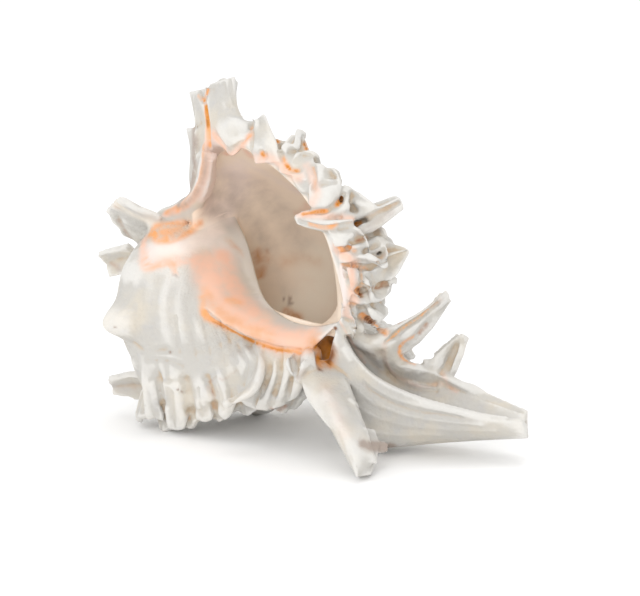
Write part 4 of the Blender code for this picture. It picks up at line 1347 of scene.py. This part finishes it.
def skirt(steps=220, rows=50):
    """The lower varix: a fluted sheet from the whorl's side down to its lobed edge."""
    tops = np.array(placed(SKIRT_TOP, at_depth))
    edges = np.array(placed(SKIRT_EDGE, at_depth))
    count = np.arange(len(tops))
    where = np.linspace(0, len(tops) - 1, steps)
    v = np.linspace(0, 1, rows)
    front = between(read_off(tops, count, where), read_off(edges, count, where), v)
    front = front + NEAR * SKIRT_SWELL * np.sin(math.pi * v**0.5)[:, None]
    return slab("skirt", front, front - NEAR * SKIRT_THICKNESS)


def cast(tree, track):
    """Points on the surface under a line drawn in the photo, each with the way it faces."""
    track = np.array(track, float)
    if len(track) > 1:
        track = smooth_curve(track, max(2, int(step_lengths(track).sum() / MARK_SPACING)))
    found = []
    for px, py in track:
        line = VIEW.T @ sight_line(px, py)
        at, facing = tree.ray_cast(Vector(VIEW.T @ EYE), Vector(line))[:2]
        if at is not None:
            found.append((np.array(at), np.array(facing)))
    return found


def nearness(skin, track, reach):
    """Falls smoothly from 1 on a line to 0 well past a reach, on the side that the line faces."""
    points, ways, tree = skin
    marks = cast(tree, track)
    near = np.zeros(len(points))
    if not marks:
        return near
    spots = np.array([at for at, _ in marks])
    low = spots.min(axis=0) - MARK_LIMIT * reach
    high = spots.max(axis=0) + MARK_LIMIT * reach
    inside = np.where(((points > low) & (points < high)).all(axis=1))[0]
    best = np.full(len(inside), FAR_OFF)
    for at, facing in marks:
        away = points[inside] - at
        turned = ways[inside] @ facing < FACING_AWAY
        best = np.minimum(best, (away * away).sum(axis=1) + FAR_OFF * turned)
    near[inside] = np.exp(-best / reach**2)
    return near


def read_points(data, what):
    """The places ("co") or the directions ("normal") of all points of a mesh."""
    found = np.empty(len(data.vertices) * 3, np.float32)
    data.vertices.foreach_get(what, found)
    return found.reshape(-1, 3).astype(float)


def move_points(data, points):
    data.vertices.foreach_set("co", points.astype(np.float32).ravel())
    data.update()


def skin_of(data):
    """A mesh's points in millimetres, the ways they face, and a tree to cast lines at."""
    points = read_points(data, "co") / MM
    polygons = [tuple(face.vertices) for face in data.polygons]
    tree = BVHTree.FromPolygons([tuple(point) for point in points], polygons)
    return points, read_points(data, "normal"), tree


def edge_ends(data):
    """The two points of every edge, and how many edges meet at each point."""
    ends = np.empty(len(data.edges) * 2, np.int32)
    data.edges.foreach_get("vertices", ends)
    one, other = ends.reshape(-1, 2).T
    return one, other, np.bincount(ends, minlength=len(data.vertices))


def neighbours_mean(values, ends):
    """For each point, the mean of the values of its neighbours."""
    one, other, count = ends
    total = np.bincount(one, values[other], len(values)) + np.bincount(other, values[one], len(values))
    return total / count


def relaxed(points, ends, passes, weight):
    """Points drawn again and again towards the middle of their neighbours."""
    points = points.copy()
    for _ in range(passes):
        for column in range(3):
            line = points[:, column]
            points[:, column] = line + weight * (neighbours_mean(line, ends) - line)
    return points


def averaged(values, ends, passes):
    """Values spread again and again over their neighbours."""
    for _ in range(passes):
        values = 0.5 * values + 0.5 * neighbours_mean(values, ends)
    return values


def soothe(data):
    """Smooths away the seams between parts that grow into one another."""
    skin = skin_of(data)
    weight = np.zeros(len(skin[0]))
    for track, reach in SEAMS:
        weight = np.maximum(weight, nearness(skin, track, reach))
    move_points(data, relaxed(skin[0], edge_ends(data), SEAM_PASSES, SEAM_PULL * weight) * MM)


def carve(data):
    """Presses the grooves and raises the ridges that the photo shows."""
    skin = skin_of(data)
    points, out, _ = skin
    lift = np.zeros(len(points))
    for track, reach, height in RELIEF:
        lift += height * nearness(skin, track, reach)
    move_points(data, (points + out * lift[:, None]) * MM)


def drawn_from(points):
    """For each point, the sheets that its surface follows and its place along them."""
    names = []
    places = []
    tree_points = []
    for name, sheet, grid in DRAWN:
        keep = slice(None, None, 2 if len(sheet) > LARGE_SHEET else 1)
        tree_points.append(sheet[keep])
        places.append(grid[keep])
        names += [name] * len(sheet[keep])
    tree_points = np.concatenate(tree_points)
    places = np.concatenate(places)
    tree = KDTree(len(tree_points))
    for number, point in enumerate(tree_points):
        tree.insert(point, number)
    tree.balance()
    found = np.zeros((len(points), 2))
    share = {name: np.zeros(len(points)) for name in set(names)}
    for number, point in enumerate(points):
        near = tree.find_n(point, SHEET_NEIGHBOURS)
        weight = np.array([1 / (away + SHEET_SOFTNESS) ** 2 for _, _, away in near])
        weight /= weight.sum()
        index = [i for _, i, _ in near]
        found[number] = weight @ places[index]
        for i, w in zip(index, weight):
            share[names[i]][number] += w
    return share, found


def attribute(data, name, values):
    layer = data.attributes.new(name, "FLOAT", "POINT")
    layer.data.foreach_set("value", values.astype(np.float32))


def dress(data):
    """Writes what each place on the skin is: its sheet, its colour marks and its growth lines."""
    skin = skin_of(data)
    points, ways, _ = skin
    share, grid = drawn_from(points)
    ends = edge_ends(data)
    for name, sheets in (("hollow", HOLLOW_SHEETS), ("glaze", GLAZED_SHEETS), ("ribbed", WOUND)):
        kind = np.clip(sum(share[sheet] for sheet in sheets), 0, 1)
        attribute(data, name, averaged(kind, ends, KIND_PASSES))
    attribute(data, "along", grid[:, 0])
    attribute(data, "across", grid[:, 1])
    cavity = ((relaxed(points, ends, CAVITY_PASSES, 1.0) - points) * ways).sum(axis=1)
    attribute(data, "cavity", cavity)
    for name, strokes in PAINT.items():
        value = np.zeros(len(points))
        for track, reach, strength in strokes:
            value = np.maximum(value, strength * nearness(skin, track, reach))
        attribute(data, name, value)


def finer_shell():
    """The shell drawn finer: fused, carved, thinned, turned to rest and kept inside the solid's box."""
    shell = shown("shell_surface", joined(pieces()))
    modify(shell, "REMESH", mode="VOXEL", voxel_size=FINE_VOXEL * MM)
    keep_largest(shell.data)
    modify(shell, "SMOOTH", factor=VOXEL_SMOOTHING, iterations=VOXEL_PASSES)
    soothe(shell.data)
    carve(shell.data)
    triangles = sum(len(face.vertices) - 2 for face in shell.data.polygons)
    modify(shell, "DECIMATE", ratio=min(1.0, FINE_TRIANGLES / triangles))
    keep_largest(shell.data)
    dress(shell.data)
    turn = Matrix.Translation(Vector(APEX) * MM) @ Matrix(resting_axes().tolist()).to_4x4()
    shell.data.transform(turn)
    low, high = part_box(NAME)
    move_points(shell.data, np.clip(read_points(shell.data, "co"), np.array(low), np.array(high)))
    shell.data.shade_smooth()
    return shell


def tint(red, green, blue):
    """A colour given out of 255, as the light it returns."""
    parts = [value / 255 for value in (red, green, blue)]
    return tuple(p / 12.92 if p < 0.04045 else ((p + 0.055) / 1.055) ** 2.4 for p in parts) + (1.0,)


def new_material(name):
    """A new material, its tree of nodes and the surface in it."""
    material = bpy.data.materials.new(name)
    material.use_nodes = True
    return material, material.node_tree, material.node_tree.nodes["Principled BSDF"]


def add(tree, kind, **settings):
    node = tree.nodes.new("ShaderNode" + kind)
    for key, value in settings.items():
        setattr(node, key, value)
    return node


def fill(tree, socket, value):
    """A number or colour set on a socket, or a link to it."""
    if isinstance(value, bpy.types.NodeSocket):
        tree.links.new(value, socket)
    else:
        socket.default_value = value


def noise(tree, where, size):
    """Noise with features of about a given size in metres."""
    node = add(tree, "TexNoise")
    node.inputs["Scale"].default_value = 1.0 / size
    node.inputs["Detail"].default_value = NOISE_DETAIL
    tree.links.new(where, node.inputs["Vector"])
    return node.outputs["Fac"]


def reading(tree, name):
    return add(tree, "Attribute", attribute_name=name).outputs["Fac"]


def ramped(tree, value, low, high, to_low=0.0, to_high=1.0):
    node = add(tree, "MapRange", interpolation_type="SMOOTHSTEP")
    tree.links.new(value, node.inputs["Value"])
    for key, number in (("From Min", low), ("From Max", high), ("To Min", to_low), ("To Max", to_high)):
        node.inputs[key].default_value = number
    return node.outputs["Result"]


def calculated(tree, operation, *values):
    node = add(tree, "Math", operation=operation)
    for socket, value in zip(node.inputs, values):
        fill(tree, socket, value)
    return node.outputs["Value"]


def mixed(tree, share, first, second):
    """A colour that lies between two others by a share."""
    node = add(tree, "Mix", data_type="RGBA")
    fill(tree, node.inputs["Factor"], share)
    fill(tree, node.inputs[6], first)
    fill(tree, node.inputs[7], second)
    return node.outputs[2]


def lines(tree, name, step, wander):
    """Soft parallel lines at an even step in millimetres along one of the skin's own measures."""
    along = calculated(tree, "ADD", reading(tree, name), wander)
    return calculated(tree, "SINE", calculated(tree, "MULTIPLY", along, 2 * math.pi / step))


def shell_colour(tree, mottle, cloud):
    """Chalk with creamy and grey clouds, grime and painted shade in its hollows, and the marks painted on
    it.
    """
    hollow = ramped(tree, reading(tree, "hollow"), *HOLLOW_RANGE)
    colour = mixed(tree, ramped(tree, mottle, *CREAMY_RANGE), tint(*CHALK), tint(*CREAMY))
    colour = mixed(tree, ramped(tree, cloud, *GREYED_RANGE), colour, tint(*GREYED))
    colour = mixed(tree, hollow, colour, tint(*HOLLOW))
    cavity = reading(tree, "cavity")
    outside = calculated(tree, "SUBTRACT", 1.0, hollow)
    # Grime and painted shade: the outside darkened in its hollows, broken up by the clouds
    clouded = ramped(tree, cloud, *CREVICE_GRIME_AND_SHADE_CLOUDS)
    grime_and_shade = calculated(tree, "MULTIPLY", ramped(tree, cavity, *CREVICE_GRIME_AND_SHADE_RANGE), clouded)
    grime_and_shade = calculated(tree, "MULTIPLY", grime_and_shade, outside)
    colour = mixed(tree, grime_and_shade, colour, tint(*CREVICE_GRIME_AND_SHADE))
    colour = mixed(tree, ramped(tree, cavity, *WORN_RANGE), colour, tint(*WORN_WHITE))
    ragged = calculated(tree, "MULTIPLY", calculated(tree, "SUBTRACT", cloud, 0.5), MARK_RAGGED)
    # Some marks are painted shade and light: the shade marks, part of the mauve marks and part of the cream
    # marks
    for name, shade in TINTS.items():
        mark = reading(tree, name)
        if name in SETTLED:
            mark = calculated(tree, "MULTIPLY", mark, ramped(tree, cavity, *SETTLED_RANGE))
        edge = calculated(tree, "MULTIPLY_ADD", ragged, mark, mark)
        colour = mixed(tree, ramped(tree, edge, *MARK_RANGE), colour, tint(*shade))
    return colour


def shell_relief(tree, cloud, fine, glaze):
    """Fine threads and grain, pressed into the chalky outside only."""
    wander = calculated(tree, "MULTIPLY", cloud, THREAD_WANDER)
    across = lines(tree, "across", ACROSS_STEP, wander)
    along = lines(tree, "along", ALONG_STEP, wander)
    ribbed = ramped(tree, reading(tree, "ribbed"), *RIBBED_RANGE)
    threads = calculated(tree, "MULTIPLY", calculated(tree, "ADD", across, along), ribbed)
    relief = add(tree, "Bump")
    relief.inputs["Distance"].default_value = GRAIN_HEIGHT
    chalk = calculated(tree, "SUBTRACT", 1.0, glaze)
    tree.links.new(calculated(tree, "MULTIPLY", chalk, GRAIN_STRENGTH), relief.inputs["Strength"])
    height = calculated(tree, "MULTIPLY_ADD", threads, THREAD_SHARE, fine)
    tree.links.new(height, relief.inputs["Height"])
    return relief.outputs["Normal"]


def shell_surface():
    """Chalky outside, enamelled lip and callus, stained hollow, by marks written on the mesh."""
    material, tree, surface = new_material("shell")
    where = add(tree, "TexCoord").outputs["Object"]
    mottle, cloud, fine = (noise(tree, where, size) for size in (MOTTLE_SIZE, CLOUD_SIZE, GRAIN_SIZE))
    tree.links.new(shell_colour(tree, mottle, cloud), surface.inputs["Base Color"])
    glaze = reading(tree, "glaze")
    for name in ("lilac", "peach"):
        glaze = calculated(tree, "MAXIMUM", glaze, reading(tree, name))
    glaze = ramped(tree, glaze, *GLAZE_RANGE)
    rough = add(tree, "Mix")
    fill(tree, rough.inputs["Factor"], glaze)
    fill(tree, rough.inputs[2], ramped(tree, fine, *CHALK_ROUGHNESS))
    rough.inputs[3].default_value = GLAZE_ROUGHNESS
    tree.links.new(rough.outputs[0], surface.inputs["Roughness"])
    tree.links.new(shell_relief(tree, cloud, fine, glaze), surface.inputs["Normal"])
    return material


def floor():
    """A plain pale floor."""
    data = bpy.data.meshes.new("floor")
    reach = FLOOR_REACH
    corners = [(-reach, -reach, 0), (reach, -reach, 0), (reach, reach, 0), (-reach, reach, 0)]
    data.from_pydata(corners, [], [(0, 1, 2, 3)])
    ground = shown("floor", data)
    material, _, surface = new_material("floor")
    surface.inputs["Base Color"].default_value = tint(*WHITE)
    surface.inputs["Roughness"].default_value = FLOOR_ROUGHNESS
    data.materials.append(material)


def lights():
    """Soft studio light: a pale surround and a few wide lamps."""
    world = bpy.data.worlds.new("studio")
    world.use_nodes = True
    background = world.node_tree.nodes["Background"]
    background.inputs["Color"].default_value = tint(*WHITE)
    background.inputs["Strength"].default_value = WORLD_LIGHT
    bpy.context.scene.world = world
    for name, at, size, power in LIGHTS:
        light = bpy.data.lights.new(name, "AREA")
        light.size = size
        light.energy = power
        lamp = shown(name, light)
        lamp.location = at
        lamp.rotation_euler = (Vector(LIT) - Vector(at)).to_track_quat("-Z", "Y").to_euler()


def camera():
    """The photo's viewpoint and framing."""
    axes = resting_axes() @ VIEW.T
    lens = bpy.data.cameras.new("camera")
    lens.sensor_width = SENSOR_WIDTH
    lens.lens = VIEW_SCALE / PHOTO_WIDTH * SENSOR_WIDTH
    viewer = shown("camera", lens)
    matrix = Matrix(axes.tolist()).to_4x4()
    matrix.translation = Vector(axes @ EYE + np.array(APEX)) * MM
    viewer.matrix_world = matrix
    bpy.context.scene.camera = viewer
    bpy.context.scene.view_settings.view_transform = "Standard"


shell = finer_shell()
shell.data.materials.clear()
shell.data.materials.append(shell_surface())
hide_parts(NAME)
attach(shell, "root")
floor()
lights()
camera()
